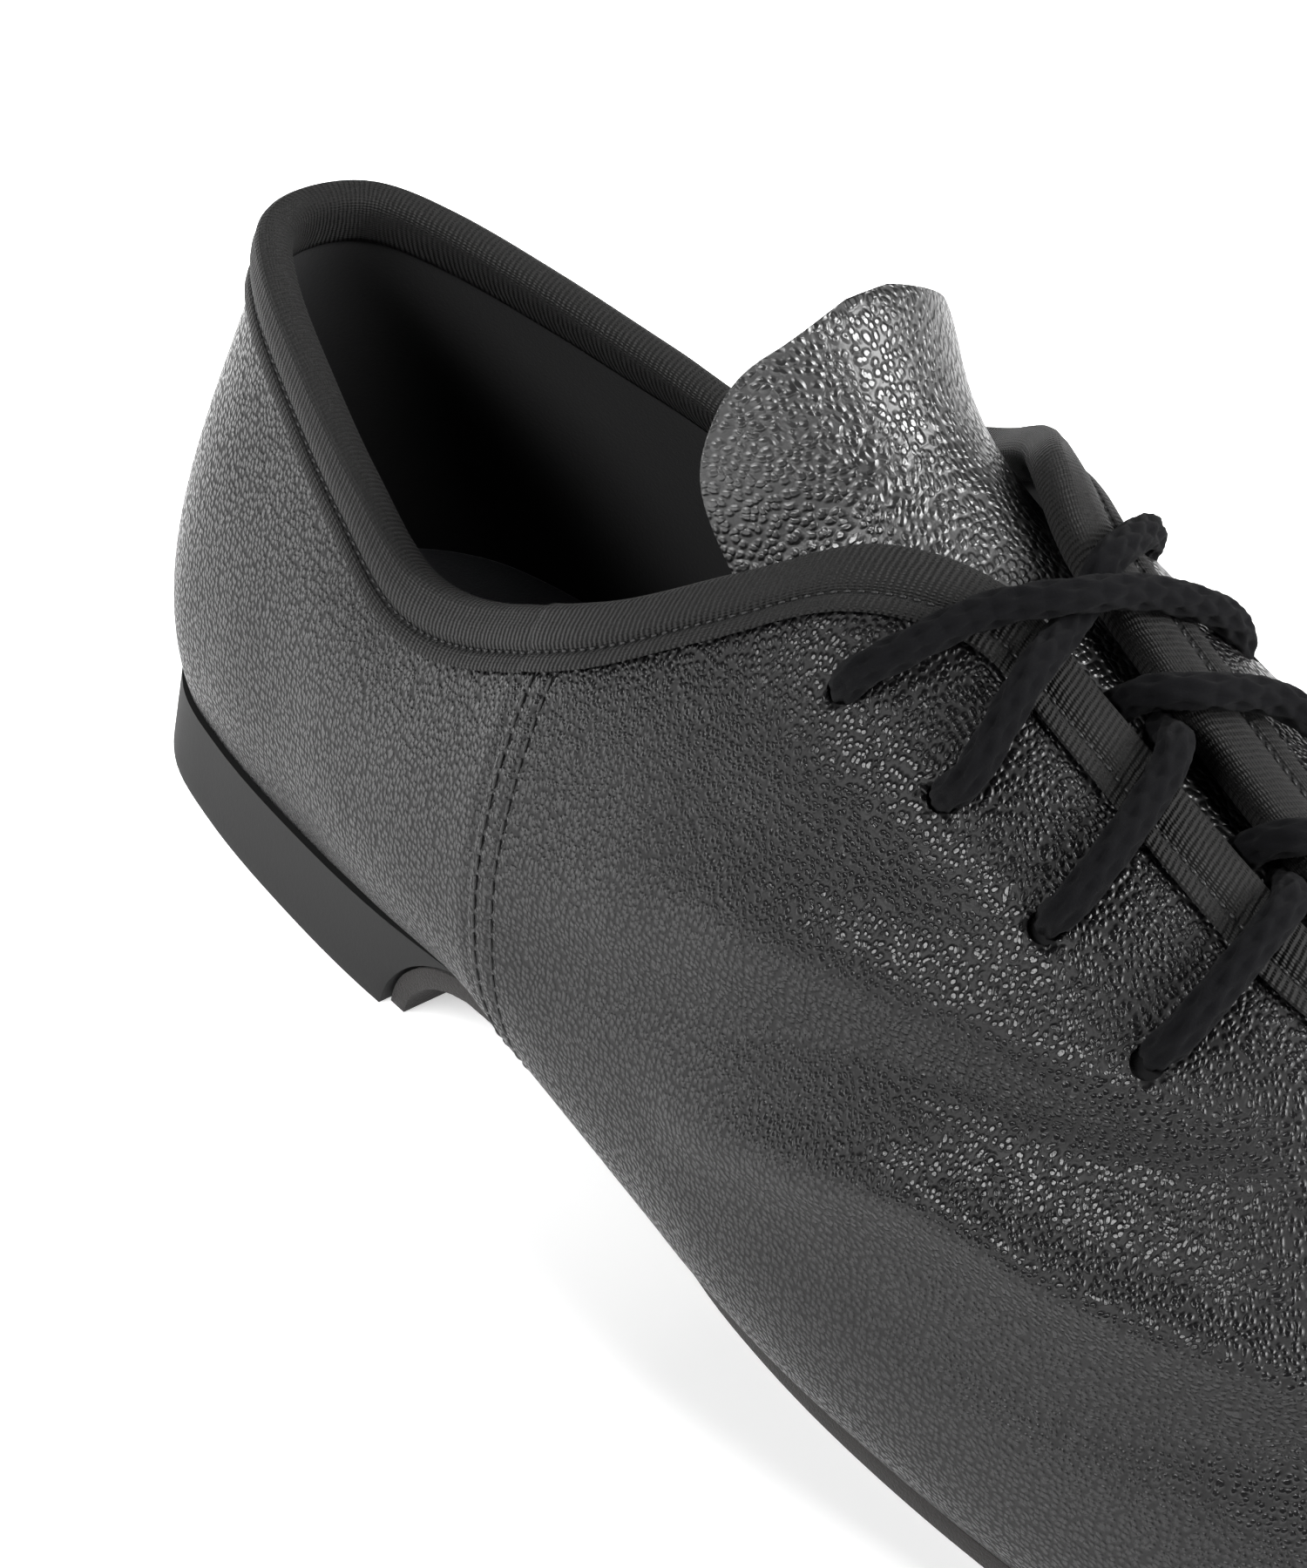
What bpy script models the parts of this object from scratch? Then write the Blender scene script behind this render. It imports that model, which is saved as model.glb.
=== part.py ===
"""Laced jazz shoe for a right foot, built the way a shoemaker puts it together.

Metres, +Z up. +X runs from heel to toe and +Y to the inner side of the foot, so the outer side is -Y.
The shoe stands on its heel and forefoot, and the floor is Z = 0. The origin is the middle of the heel's
length on the floor. The functions measure X from the back of the foot, and the pieces are moved at the end.
"""

import math

import bmesh
import bpy
import numpy as np
from mathutils import Vector

# Sizes of the last, in metres
FEATHER_LENGTH = 0.2530  # back to toe tip, along the line where upper and sole meet
BALL_WIDTH = 0.0770  # across the sole at the ball of the foot, where the upper meets it
BACK_RISE = 0.0580  # heel seat to the top of the back
INSTEP_RISE = 0.0820  # sole to the top of the lacing, over the instep
TOE_RISE = 0.0400  # sole to the top of the toe, where the toe cap would begin

# Sizes of the bottom
HEEL_HEIGHT = 0.0116  # at the breast, sole thickness included
HEEL_PITCH = 0.0010  # how much lower the heel seat is at the back
HEEL_LENGTH = 0.0666  # back to breast, on the floor
HEEL_SWING = 0.0038  # how far the back of the heel stands to the outer side
HEEL_FLARE = 0.0012  # how far the heel block spreads at the floor
SOLE_THICK = 0.0026
SOLE_MARGIN = 0.0006  # how far the sole stands out past the upper
TOE_SPRING = 0.0050
INSOLE_THICK = 0.0020

# Sizes of the upper
WALL = 0.0020  # leather and lining together
SEAM_STEP = 0.0007  # the forepart laps this much over the back part
TONGUE_THICK = 0.0012
BINDING_WIDTH = 0.0068  # outside leaf of the folded tape
BINDING_THICK = 0.0007
BINDING_GAP = 0.0005  # tape to leather, outside
LINING_GAP = 0.0008  # tape to lining, inside
BINDING_DEPTHS = (1.0, 0.62, 0.22)  # rows of points on a leaf, as shares of its width below the edge
FOLD_SHOULDER = 0.45  # height of the fold's shoulders, as a share of its stand-off
FIT_GAP = 0.0003  # between pieces that lie on each other
SEAT_GAP = 0.0005  # between the sole or heel and what stands on it

# Sizes of the lacing
EYELET_PAIRS = 4
EYELET_RADIUS = 0.0017
EYELET_FIRST_X = 0.1268
EYELET_PITCH = 0.0151  # along the shoe
EYELET_OUTER_Y = -0.0240
EYELET_INNER_Y = 0.0202
EYELET_CLOSER = 0.0006  # each pair stands this much closer on either side than the pair behind it
LACE_DIAMETER = 0.0036
LACE_SINK = 0.0008  # how far crossing laces press into each other
LACE_STOP = 0.0032  # from the middle of a lace hole to the end of a crossing
LACE_ROOM = 0.0066  # under the top of the facings, for wall, tape and lace over the tongue
SLIT_ROOM = 0.0040  # the same between the facings, where the tongue rises
ROOM_SPREAD = 0.0050  # from the edge of a facing to where the tongue lies at its full depth
SLIT_CLEAR = 0.0036  # from the leather's edge to the middle of a lace inside the slit
LACING_BACK = 0.50  # share of FEATHER_LENGTH where the slit's straight edges begin
TONGUE_FREE = 0.475  # share of FEATHER_LENGTH behind which the tongue stands free

# How high a strand rides over the leather: how far it is across the slit, and the height in tapes.
RIDE_COLUMNS = ("way", "tapes")
LACE_RIDE = ((0.0, 0.2), (0.1, 1.1), (0.2, 1.3), (0.75, 1.3), (1.0, 0.2))
SUNK_OUTSIDE = 0.2  # in tapes, where a strand starts beside its own hole
SUNK_IN_SLIT = -1.5  # in tapes, where it comes up out of the slit
CROSSING_MIDDLE = 0.5  # how far across a strand lies over the other one
CROSSING_IN_SLIT = 0.25  # the same, for a strand that starts inside the slit
CROSSING_SPREAD = 0.16  # how soon it comes down again
STRAND_STEPS = 13

HALF_BALL = BALL_WIDTH / 2

# Sections of the last. Lengths along the shoe are shares of FEATHER_LENGTH, widths and reaches are shares
# of HALF_BALL. A top's height over the sole is the sum of its shares of BACK_RISE, INSTEP_RISE and
# TOE_RISE, and inner_lift is a share of BACK_RISE. Heights of the curve's handles are shares of INSTEP_RISE.
SECTION_COLUMNS = (
    "name", "foot_x", "foot_outer", "foot_inner", "top_x", "top_outer", "top_inner", "back", "instep",
    "toe", "inner_lift", "low_rise", "low_out", "high_reach", "high_out", "high_drop", "inner_full",
)
SECTIONS = (
    ("back", 0.004, 0, 0, 0.02, 0, 0, 1, 0, 0, 0, 0.24, 0.14, 0, 0.13, 0.24, 1),
    ("back_turn", 0.016, -0.374, 0.369, 0.032, -0.197, 0.197, 0.998, 0, 0, 0, 0.24, 0.14, 0, 0.13, 0.24, 1),
    ("heel_curve", 0.053, -0.618, 0.608, 0.069, -0.358, 0.317, 0.972, 0, 0, 0, 0.24, 0.14, 0, 0.14, 0.24, 1),
    ("heel_side", 0.107, -0.732, 0.706, 0.123, -0.488, 0.442, 0.9, 0, 0, 0.01, 0.23, 0.15, 0, 0.16, 0.22, 1),
    ("heel_front", 0.178, -0.805, 0.727, 0.184, -0.608, 0.556, 0.82, 0,
     0, 0.02, 0.22, 0.18, 0, 0.18, 0.2, 1),
    ("ankle", 0.253, -0.842, 0.675, 0.247, -0.696, 0.649, 0.755, 0, 0, 0.03, 0.17, 0.31, 0, 0.22, 0.18, 1),
    ("waist_back", 0.332, -0.826, 0.571, 0.314, -0.727, 0.706, 0.6, 0.175,
     0, 0.04, 0.16, 0.44, 0, 0.29, 0.19, 0.95),
    ("waist", 0.403, -0.81, 0.532, 0.375, -0.717, 0.665, 0.38, 0.47,
     0, 0.04, 0.16, 0.49, 0.1, 0.34, 0.22, 0.9),
    ("waist_front", 0.466, -0.842, 0.597, 0.431, -0.571, 0.455, 0.16, 0.785,
     0, 0.06, 0.17, 0.48, 0.5, 0.34, 0.21, 0.8),
    ("lace_corner", 0.522, -0.894, 0.727, 0.474, -0.371, 0.223, 0, 1,
     0, 0.05, 0.2, 0.48, 0.75, 0.21, 0.15, 0.78),
    ("lace_top", 0.573, -0.925, 0.87, 0.518, -0.213, 0.088, 0, 1, 0, 0.02, 0.21, 0.47, 0.8, 0.1, 0.06, 0.78),
    ("ball_back", 0.625, -0.93, 0.966, 0.569, -0.179, 0.068, 0, 0.934,
     0, 0.01, 0.24, 0.44, 0.8, 0.05, 0.03, 0.8),
    ("ball", 0.676, -0.914, 1.029, 0.625, -0.161, 0.062, 0, 0.864, 0, 0, 0.23, 0.39, 0.8, 0.03, 0.03, 0.85),
    ("ball_front", 0.727, -0.878, 1.055, 0.676, -0.14, 0.068, 0, 0.806,
     0, 0, 0.22, 0.34, 0.78, 0, 0.04, 0.9),
    ("lace_foot", 0.775, -0.831, 1.049, 0.709, -0.094, 0.078, 0, 0.774, 0, 0, 0.21, 0.29, 0.74, 0, 0.06, 1),
    ("throat", 0.818, -0.774, 1.023, 0.722, -0.005, -0.005, 0, 0.76, 0, 0, 0.2, 0.25, 0.7, 0, 0.09, 1),
    ("vamp", 0.862, -0.696, 0.977, 0.747, 0.01, 0.01, 0, 0.5, 0.46, 0, 0.18, 0.22, 0.66, 0, 0.12, 1),
    ("toe_back", 0.901, -0.597, 0.909, 0.775, 0.034, 0.034, 0, 0.25, 0.87, 0, 0.17, 0.21, 0.64, 0, 0.14, 1),
    ("toe_side", 0.941, -0.462, 0.816, 0.802, 0.062, 0.062, 0, 0.1, 1.07, 0, 0.16, 0.19, 0.6, 0, 0.15, 1),
    ("toe_curve", 0.972, -0.275, 0.681, 0.83, 0.094, 0.094, 0, 0.03, 1.11, 0, 0.16, 0.18, 0.58, 0, 0.14, 1),
    ("toe_turn", 0.993, -0.036, 0.478, 0.854, 0.13, 0.13, 0, 0, 1.08, 0, 0.16, 0.17, 0.56, 0, 0.13, 1),
    ("toe_tip", 1, 0.218, 0.218, 0.87, 0.161, 0.161, 0, 0, 1.03, 0, 0.16, 0.17, 0.54, 0, 0.12, 1),
)
THROAT = [row[0] for row in SECTIONS].index("throat")
TOE = len(SECTIONS) - 1
SEAM_PLACE = 6.5  # the side seam runs down the wall halfway between the waist_back and waist sections
SEAM_BLUNT = 0.10  # share of a section over which the lapped edge rises
SWING_REACH = 0.40  # share of FEATHER_LENGTH over which the heel swings
SWING_EASE = 1.3
STEPS_PER_SECTION = 2
PROFILE_STEPS = 12
FINE_STEPS = 6  # steps of the fine copy of the surface that other pieces are laid on
FINE_PROFILE = 48
FACING_UP = 0.15  # least upward lean of the surface where other pieces are laid on it
NEAR_WALL = 1.6  # times the room asked for: points farther from the wall are left where they are
SOLE_POINTS = 18  # along the sole's flat part
TOE_POINTS = 8  # round its toe
TOE_TURN = 0.90  # share of FEATHER_LENGTH where the sole's rows close up towards the toe
SOLE_AFTER_BREAST = 0.02  # share of FEATHER_LENGTH from the breast to the sole's next row
SOLE_ROW = 7  # points across the sole
HEEL_POINTS = 13  # along either side of the heel
INSOLE_ENDS = (0.06, 0.97)  # shares of a half turn, so that the ends of the sock are round
INSOLE_ROWS = 26
TONGUE_ROWS = 19
TONGUE_POINTS = 11  # across the tongue

# Underside of the sole from the breast to the toe: shares of FEATHER_LENGTH along the shoe, then the height
# as shares of the waist's rise at the breast and of TOE_SPRING.
SOLE_COLUMNS = ("x", "waist", "spring")
SOLE_PROFILE = (
    (0.300, 1.000, 0.00),
    (0.330, 0.985, 0.00),
    (0.370, 0.740, 0.00),
    (0.430, 0.330, 0.00),
    (0.485, 0.080, 0.00),
    (0.540, 0.000, 0.00),
    (0.740, 0.000, 0.00),
    (0.850, 0.000, 0.00),
    (0.900, 0.000, 0.12),
    (0.950, 0.000, 0.45),
    (1.000, 0.000, 1.00),
)
# Breast of the heel from floor to seat: height as a share of the waist's rise, and how far its front has
# moved towards the toe, as a share of HEEL_HEIGHT.
BREAST_COLUMNS = ("height", "forward")
BREAST = (
    (0.00, 0.00),
    (0.28, 0.07),
    (0.52, 0.20),
    (0.74, 0.40),
    (0.90, 0.66),
    (0.98, 0.94),
)

# Tongue from root to tip, along its middle: length along the shoe as a share of FEATHER_LENGTH, height over
# the forepart of the sole as a share of INSTEP_RISE, half width and lean to the inner side as shares of
# HALF_BALL, and how far its sides curl down, as a share of the half width.
TONGUE_COLUMNS = ("x", "height", "half", "lean", "curl")
TONGUE = (
    (0.730, 0.720, 0.40, 0.00, 0.28),
    (0.680, 0.790, 0.43, 0.00, 0.32),
    (0.625, 0.860, 0.46, -0.01, 0.36),
    (0.570, 0.930, 0.48, -0.03, 0.44),
    (0.520, 0.985, 0.47, -0.05, 0.60),
    (0.472, 1.045, 0.48, -0.05, 0.90),
    (0.442, 1.110, 0.48, -0.07, 0.88),
    (0.422, 1.171, 0.43, -0.07, 0.66),
    (0.410, 1.216, 0.29, -0.07, 0.40),
    (0.403, 1.233, 0.07, -0.07, 0.10),
)


def column(table, names, name):
    """One named column of a table, as an array."""
    return np.array([row[names.index(name)] for row in table], float)


def curve_at(points, places, closed=False):
    """A smooth curve through rows of values, read at these row numbers, fractions included."""
    rows = np.asarray(points, float)
    if closed:
        padded = np.vstack([rows[-1:], rows, rows[:2]])
    else:
        padded = np.vstack([2 * rows[0] - rows[1], rows, 2 * rows[-1] - rows[-2]])
    first = np.minimum(np.floor(places).astype(int), len(padded) - 4)
    t = (places - first)[:, None]
    a, b, c, d = (padded[first + k] for k in range(4))
    return 0.5 * (2 * b + (c - a) * t + (2 * a - 5 * b + 4 * c - d) * t**2 + (3 * b - a - 3 * c + d) * t**3)


def unit(vectors):
    """Vectors of length one, along the last axis."""
    return vectors / np.maximum(np.linalg.norm(vectors, axis=-1, keepdims=True), 1e-12)


def sole_underside(x):
    """Height of the sole's underside over the floor, in front of the heel."""
    xs = column(SOLE_PROFILE, SOLE_COLUMNS, "x") * FEATHER_LENGTH
    rise = column(SOLE_PROFILE, SOLE_COLUMNS, "waist") * (HEEL_HEIGHT - SOLE_THICK)
    rise = rise + column(SOLE_PROFILE, SOLE_COLUMNS, "spring") * TOE_SPRING
    fine = curve_at(np.column_stack([xs, rise]), np.arange(0, len(xs) - 0.9, 0.125))
    return np.interp(x, fine[:, 0], np.clip(fine[:, 1], 0.0, max(HEEL_HEIGHT - SOLE_THICK, TOE_SPRING)))


def seat_height(x):
    """Height of the surface that the upper stands on: the top of the heel, then the top of the sole."""
    x = np.asarray(x, float)
    front = SOLE_PROFILE[0][0] * FEATHER_LENGTH
    seat = HEEL_HEIGHT - HEEL_PITCH * (front - x) / front
    return np.where(x < front, seat, sole_underside(x) + SOLE_THICK)


def loop_places(steps, seam=False):
    """Row numbers for one trip round the shoe, the same down either side. With seam, two rows stand close
    together at the side seam, so that the step in the wall is blunt."""
    side = list(np.arange(0, TOE + 0.001, 1 / steps))
    if seam:
        side.append(SEAM_PLACE + SEAM_BLUNT)
    side = sorted(side)
    return np.array(side + [2 * TOE - place for place in side[-2:0:-1]])


def section_loop(places):
    """The sections once round the shoe: down the outer side to the toe, and back along the inner side."""
    value = {name: column(SECTIONS, SECTION_COLUMNS, name) for name in SECTION_COLUMNS[1:]}
    rise = value["back"] * BACK_RISE + value["instep"] * INSTEP_RISE + value["toe"] * TOE_RISE
    sides = []
    for side in ("outer", "inner"):
        lift = value["inner_lift"] * BACK_RISE if side == "inner" else 0.0
        full = value["inner_full"] if side == "inner" else 1.0
        sides.append(np.column_stack([
            value["foot_x"] * FEATHER_LENGTH,
            value["foot_" + side] * HALF_BALL,
            value["top_x"] * FEATHER_LENGTH,
            value["top_" + side] * HALF_BALL,
            rise + lift,
            value["low_rise"] * INSTEP_RISE,
            value["low_out"] * HALF_BALL,
            value["high_reach"] * full,
            value["high_out"] * HALF_BALL * full,
            value["high_drop"] * INSTEP_RISE,
        ]))
    loop = np.vstack([sides[0], sides[1][-2:0:-1]])
    for x, y in ((0, 1), (2, 3)):
        ease = np.clip(1 - loop[:, x] / (SWING_REACH * FEATHER_LENGTH), 0, 1) ** SWING_EASE
        loop[:, y] -= HEEL_SWING * ease
    read = curve_at(loop, places, closed=True)
    # Ahead of the lacing both sides end on one ridge, so opposite sections share their top.
    for k in np.where((places >= THROAT) & (places < TOE))[0]:
        shared = (read[k, 2:5] + read[-k, 2:5]) / 2
        read[k, 2:5] = shared
        read[-k, 2:5] = shared
    return read


def outward(loop):
    """Unit normals of the foot outline in plan, pointing out of the shoe."""
    ahead = np.roll(loop[:, :2], -1, axis=0) - np.roll(loop[:, :2], 1, axis=0)
    return unit(np.column_stack([ahead[:, 1], -ahead[:, 0]]))


def last_surface(places, profile_steps):
    """Outer surface of the upper and its unit normals: one row of points for each section, foot to top."""
    loop = section_loop(places)
    out = outward(loop)
    foot = np.column_stack([loop[:, :2], seat_height(loop[:, 0]) + SEAT_GAP])
    top = np.column_stack([loop[:, 2:4], seat_height(loop[:, 2]) + loop[:, 4]])
    low = foot + np.column_stack([out * loop[:, 6:7], loop[:, 5]])
    reach = (foot[:, :2] - top[:, :2]) * loop[:, 7:8]
    high = top + np.column_stack([reach + out * loop[:, 8:9], -loop[:, 9]])
    t = np.linspace(0, 1, profile_steps + 1)[None, :, None]
    a, b, c, d = (p[:, None, :] for p in (foot, low, high, top))
    grid = (1 - t) ** 3 * a + 3 * (1 - t) ** 2 * t * b + 3 * (1 - t) * t**2 * c + t**3 * d
    along = np.roll(grid, -1, axis=0) - np.roll(grid, 1, axis=0)
    normal = unit(np.cross(along, np.gradient(grid, axis=1)))
    forepart = np.clip((np.minimum(places, 2 * TOE - places) - SEAM_PLACE) / SEAM_BLUNT, 0, 1)
    level = normal * [1, 1, 0]
    rise = np.where(t > 0, 1.0, 0.0) * normal + np.where(t > 0, 0.0, 1.0) * level
    return grid + rise * forepart[:, None, None] * SEAM_STEP, normal


class Surface:
    """A fine copy of the upper's outer surface, read by its place in plan over the instep."""

    def __init__(self):
        grid, normal = last_surface(loop_places(FINE_STEPS), FINE_PROFILE)
        self.points = grid.reshape(-1, 3)
        self.normals = normal.reshape(-1, 3)
        self.upper_side = np.where(self.normals[:, 2] > FACING_UP)[0]
        self.edge = grid[:, -1]

    def read(self, x, y):
        """The point of the surface over (x, y) and its normal, carried straight across the lacing slit."""
        near = self.points[self.upper_side]
        reach = np.hypot(near[:, 0] - x, near[:, 1] - y)
        best = self.upper_side[np.argmin(reach)]
        p, n = self.points[best], self.normals[best]
        outer_y, inner_y = self.slit(x)
        if outer_y[1] < y < inner_y[1]:
            share = (y - outer_y[1]) / (inner_y[1] - outer_y[1])
            return np.array([x, y, outer_y[2] + (inner_y[2] - outer_y[2]) * share]), unit(n * [1, 0, 1])
        return np.array([x, y, p[2] - (n[0] * (x - p[0]) + n[1] * (y - p[1])) / n[2]]), n

    def slit(self, x):
        """The outer and inner edge of the lacing slit at x."""
        found = []
        half = len(self.edge) // 2
        for side in (self.edge[1:half], self.edge[half + 1:]):
            ahead = side[side[:, 0] > LACING_BACK * FEATHER_LENGTH]
            found.append(ahead[np.argmin(np.abs(ahead[:, 0] - x))])
        return found

    def tongue_room(self, x, y):
        """How far the tongue lies under the leather's top: less between the facings than under them."""
        outer, inner = self.slit(x)
        share = max(outer[1] - y, y - inner[1], 0.0) / ROOM_SPREAD
        return np.interp(share, [0, 1], [SLIT_ROOM, LACE_ROOM])

    def inside(self, point, room):
        """The point, moved into the shoe where less than room is left to the outer surface near it."""
        away = np.linalg.norm(self.points - point, axis=1)
        best = np.argmin(away)
        short = room - (self.points[best] - point) @ self.normals[best]
        if away[best] < room * NEAR_WALL and short > 0:
            return point - self.normals[best] * short
        return point


def add_object(name, mesh, collection, material=None):
    obj = bpy.data.objects.new(name, mesh)
    collection.objects.link(obj)
    if material is not None:
        mesh.materials.append(material)
        mesh.shade_smooth()
    return obj


def make_mesh(name, points, faces):
    """A mesh from points and faces, with its doubles merged and its faces turned out."""
    mesh = bpy.data.meshes.new(name)
    mesh.from_pydata([tuple(p) for p in points], [], faces)
    bm = bmesh.new()
    bm.from_mesh(mesh)
    bmesh.ops.remove_doubles(bm, verts=bm.verts, dist=1e-5)
    bmesh.ops.recalc_face_normals(bm, faces=bm.faces)
    bm.to_mesh(mesh)
    bm.free()
    return mesh


def grid_faces(rows, columns, wrap_rows=False, wrap_columns=False):
    faces = []
    for i in range(rows if wrap_rows else rows - 1):
        for j in range(columns if wrap_columns else columns - 1):
            near, far = i * columns, (i + 1) % rows * columns
            across = (j + 1) % columns
            faces.append((near + j, far + j, far + across, near + across))
    return faces


def loft(name, rings, closed=False):
    """A solid through rings of points, with its ends filled, or closed into one long ring."""
    count, size = len(rings), len(rings[0])
    faces = grid_faces(count, size, wrap_rows=closed, wrap_columns=True)
    if not closed:
        faces += [tuple(range(size)), tuple(range((count - 1) * size, count * size))]
    return make_mesh(name, np.vstack(rings), faces)


def add_wall(obj, thickness, offset):
    """Gives an open surface its thickness. Offset -1 grows it inwards, 0 to both sides and 1 outwards."""
    wall = obj.modifiers.new("wall", "SOLIDIFY")
    wall.thickness = thickness
    wall.offset = offset
    wall.use_even_offset = True


def plain_material(name, colour, roughness):
    material = bpy.data.materials.new(name)
    material.use_nodes = True
    shader = material.node_tree.nodes["Principled BSDF"]
    shader.inputs["Base Color"].default_value = (*colour, 1.0)
    shader.inputs["Roughness"].default_value = roughness
    shader.inputs["Metallic"].default_value = 0.0
    return material


def make_upper(collection, material):
    """One hollow wall, foot to topline, with the forepart lapping over the back part at the side seams."""
    grid, _ = last_surface(loop_places(STEPS_PER_SECTION, seam=True), PROFILE_STEPS)
    rows, columns = grid.shape[:2]
    mesh = make_mesh("upper", grid.reshape(-1, 3), grid_faces(rows, columns, wrap_rows=True))
    upper = add_object("upper", mesh, collection, material)
    add_wall(upper, WALL, -1)
    return upper


def eyelet_places(surface):
    """Outer and inner row of lace holes, top pair first: a point on the leather and the normal there."""
    xs = EYELET_FIRST_X + EYELET_PITCH * np.arange(EYELET_PAIRS)
    closer = EYELET_CLOSER * np.arange(EYELET_PAIRS)
    rows = (EYELET_OUTER_Y + closer, EYELET_INNER_Y - closer)
    return [[surface.read(x, y) for x, y in zip(xs, row)] for row in rows]


def punch_eyelets(upper, surface, cutters):
    """A round hole through the leather at each lace hole."""
    for side, row in zip(("outer", "inner"), eyelet_places(surface)):
        for i, (point, normal) in enumerate(row):
            name = f"punch_{side}_{i + 1}"
            bm = bmesh.new()
            bmesh.ops.create_cone(
                bm, cap_ends=True, segments=10, radius1=EYELET_RADIUS, radius2=EYELET_RADIUS, depth=WALL * 6
            )
            mesh = bpy.data.meshes.new(name)
            bm.to_mesh(mesh)
            bm.free()
            punch = add_object(name, mesh, cutters)
            punch.rotation_mode = "QUATERNION"
            punch.rotation_quaternion = Vector(normal).to_track_quat("Z", "Y")
            punch.location = point
            combine(upper, punch, "DIFFERENCE")


def combine(obj, tool, operation):
    """Cuts or joins obj with a tool that isn't shown itself."""
    tool.hide_render = True
    tool.display_type = "WIRE"
    step = obj.modifiers.new(tool.name, "BOOLEAN")
    step.operation = operation
    step.solver = "EXACT"
    step.object = tool


def sole_path():
    """Underside of the sole in side view, up the breast from the floor and along to the toe, and how many
    of its points are on the breast."""
    breast = np.column_stack([
        HEEL_LENGTH + SOLE_THICK + FIT_GAP + column(BREAST, BREAST_COLUMNS, "forward") * HEEL_HEIGHT,
        column(BREAST, BREAST_COLUMNS, "height") * (HEEL_HEIGHT - SOLE_THICK),
    ])
    first = breast[-1, 0] / FEATHER_LENGTH + SOLE_AFTER_BREAST
    flat = np.linspace(first, TOE_TURN, SOLE_POINTS)
    toe = TOE_TURN + (1 - TOE_TURN) * np.sin(np.linspace(0, math.pi / 2, TOE_POINTS)[1:])
    xs = np.concatenate([flat, toe]) * FEATHER_LENGTH
    return np.vstack([breast, np.column_stack([xs, sole_underside(xs)])]), len(breast)


def breast_face(gap=0.0):
    """Back of the turned-down sole in side view, from the floor up, and moved back by gap."""
    path, count = sole_path()
    run = unit(np.gradient(path, axis=0))[:count]
    face = path[:count] + np.column_stack([-run[:, 1], run[:, 0]]) * (SOLE_THICK + gap)
    face[0] = [path[0, 0] - SOLE_THICK - gap, path[0, 1]]
    return face


def foot_sides(x, margin=0.0):
    """Outer and inner edge of the foot outline at each x, moved out by margin."""
    loop = section_loop(loop_places(8))
    edge = loop[:, :2] + outward(loop) * margin
    half = len(edge) // 2
    outer = edge[: half + 1]
    inner = np.vstack([edge[:1], edge[:half - 1:-1]])
    return np.interp(x, outer[:, 0], outer[:, 1]), np.interp(x, inner[:, 0], inner[:, 1])


def make_outsole(collection, material):
    """Sole leather of one thickness. Behind the waist it turns down over the heel's breast to the floor."""
    path, count = sole_path()
    top = path + [0, SOLE_THICK]
    top[:count] = breast_face()
    tip = section_loop(loop_places(8))[:, 0].max() + SOLE_MARGIN
    plan_x = np.minimum(path[:, 0] * tip / path[-1, 0], tip)
    path[count:, 0] = top[count:, 0] = plan_x[count:]
    outer, inner = foot_sides(plan_x, SOLE_MARGIN)
    rings = []
    for (x, z), (top_x, top_z), low, high in zip(path, top, outer, inner):
        y = np.linspace(low, high, SOLE_ROW)
        under = np.column_stack([np.full(SOLE_ROW, x), y, np.full(SOLE_ROW, z)])
        over = np.column_stack([np.full(SOLE_ROW, top_x), y, np.full(SOLE_ROW, top_z)])
        rings.append(np.vstack([under, over[::-1]]))
    return add_object("outsole", loft("outsole", rings), collection, material)


def make_heel(collection, material):
    """Low heel block under the back of the foot, its front face following the turned-down sole."""
    face = breast_face(SEAT_GAP)
    back = section_loop(loop_places(8))[:, 0].min()
    rings = []
    for front, height in [*face[:-1], (face[-1, 0] - SEAT_GAP, HEEL_HEIGHT)]:
        share = height / HEEL_HEIGHT
        margin = SOLE_MARGIN + HEEL_FLARE * (1 - share)
        xs = front - (front - back + margin) * np.sin(np.linspace(0, math.pi / 2, HEEL_POINTS))
        outer, inner = foot_sides(xs, margin)
        outer[-1] = inner[-1] = (outer[-1] + inner[-1]) / 2
        x = np.concatenate([xs, xs[-2::-1]])
        y = np.concatenate([outer, inner[-2::-1]])
        rings.append(np.column_stack([x, y, seat_height(x) * share]))
    return add_object("heel", loft("heel", rings), collection, material)


def make_insole(collection, material):
    """Sock that covers the inside of the sole, inside the wall of the upper."""
    loop = section_loop(loop_places(8))
    inset = WALL + FIT_GAP * 3
    back, tip = loop[:, 0].min() + inset, loop[:, 0].max() - inset
    turn = np.linspace(*INSOLE_ENDS, INSOLE_ROWS) * math.pi
    xs = back + (tip - back) * (0.5 - 0.5 * np.cos(turn))
    outer, inner = foot_sides(xs, -inset)
    y = outer[:, None] + (inner - outer)[:, None] * np.linspace(0, 1, 6)
    x = np.broadcast_to(xs[:, None], y.shape)
    sheet = np.stack([x, y, seat_height(x) + SEAT_GAP + INSOLE_THICK], axis=-1)
    rings = [np.vstack([row - [0, 0, INSOLE_THICK], row[::-1]]) for row in sheet]
    mesh = loft("insole", rings)
    return add_object("insole", mesh, collection, material)


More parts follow.
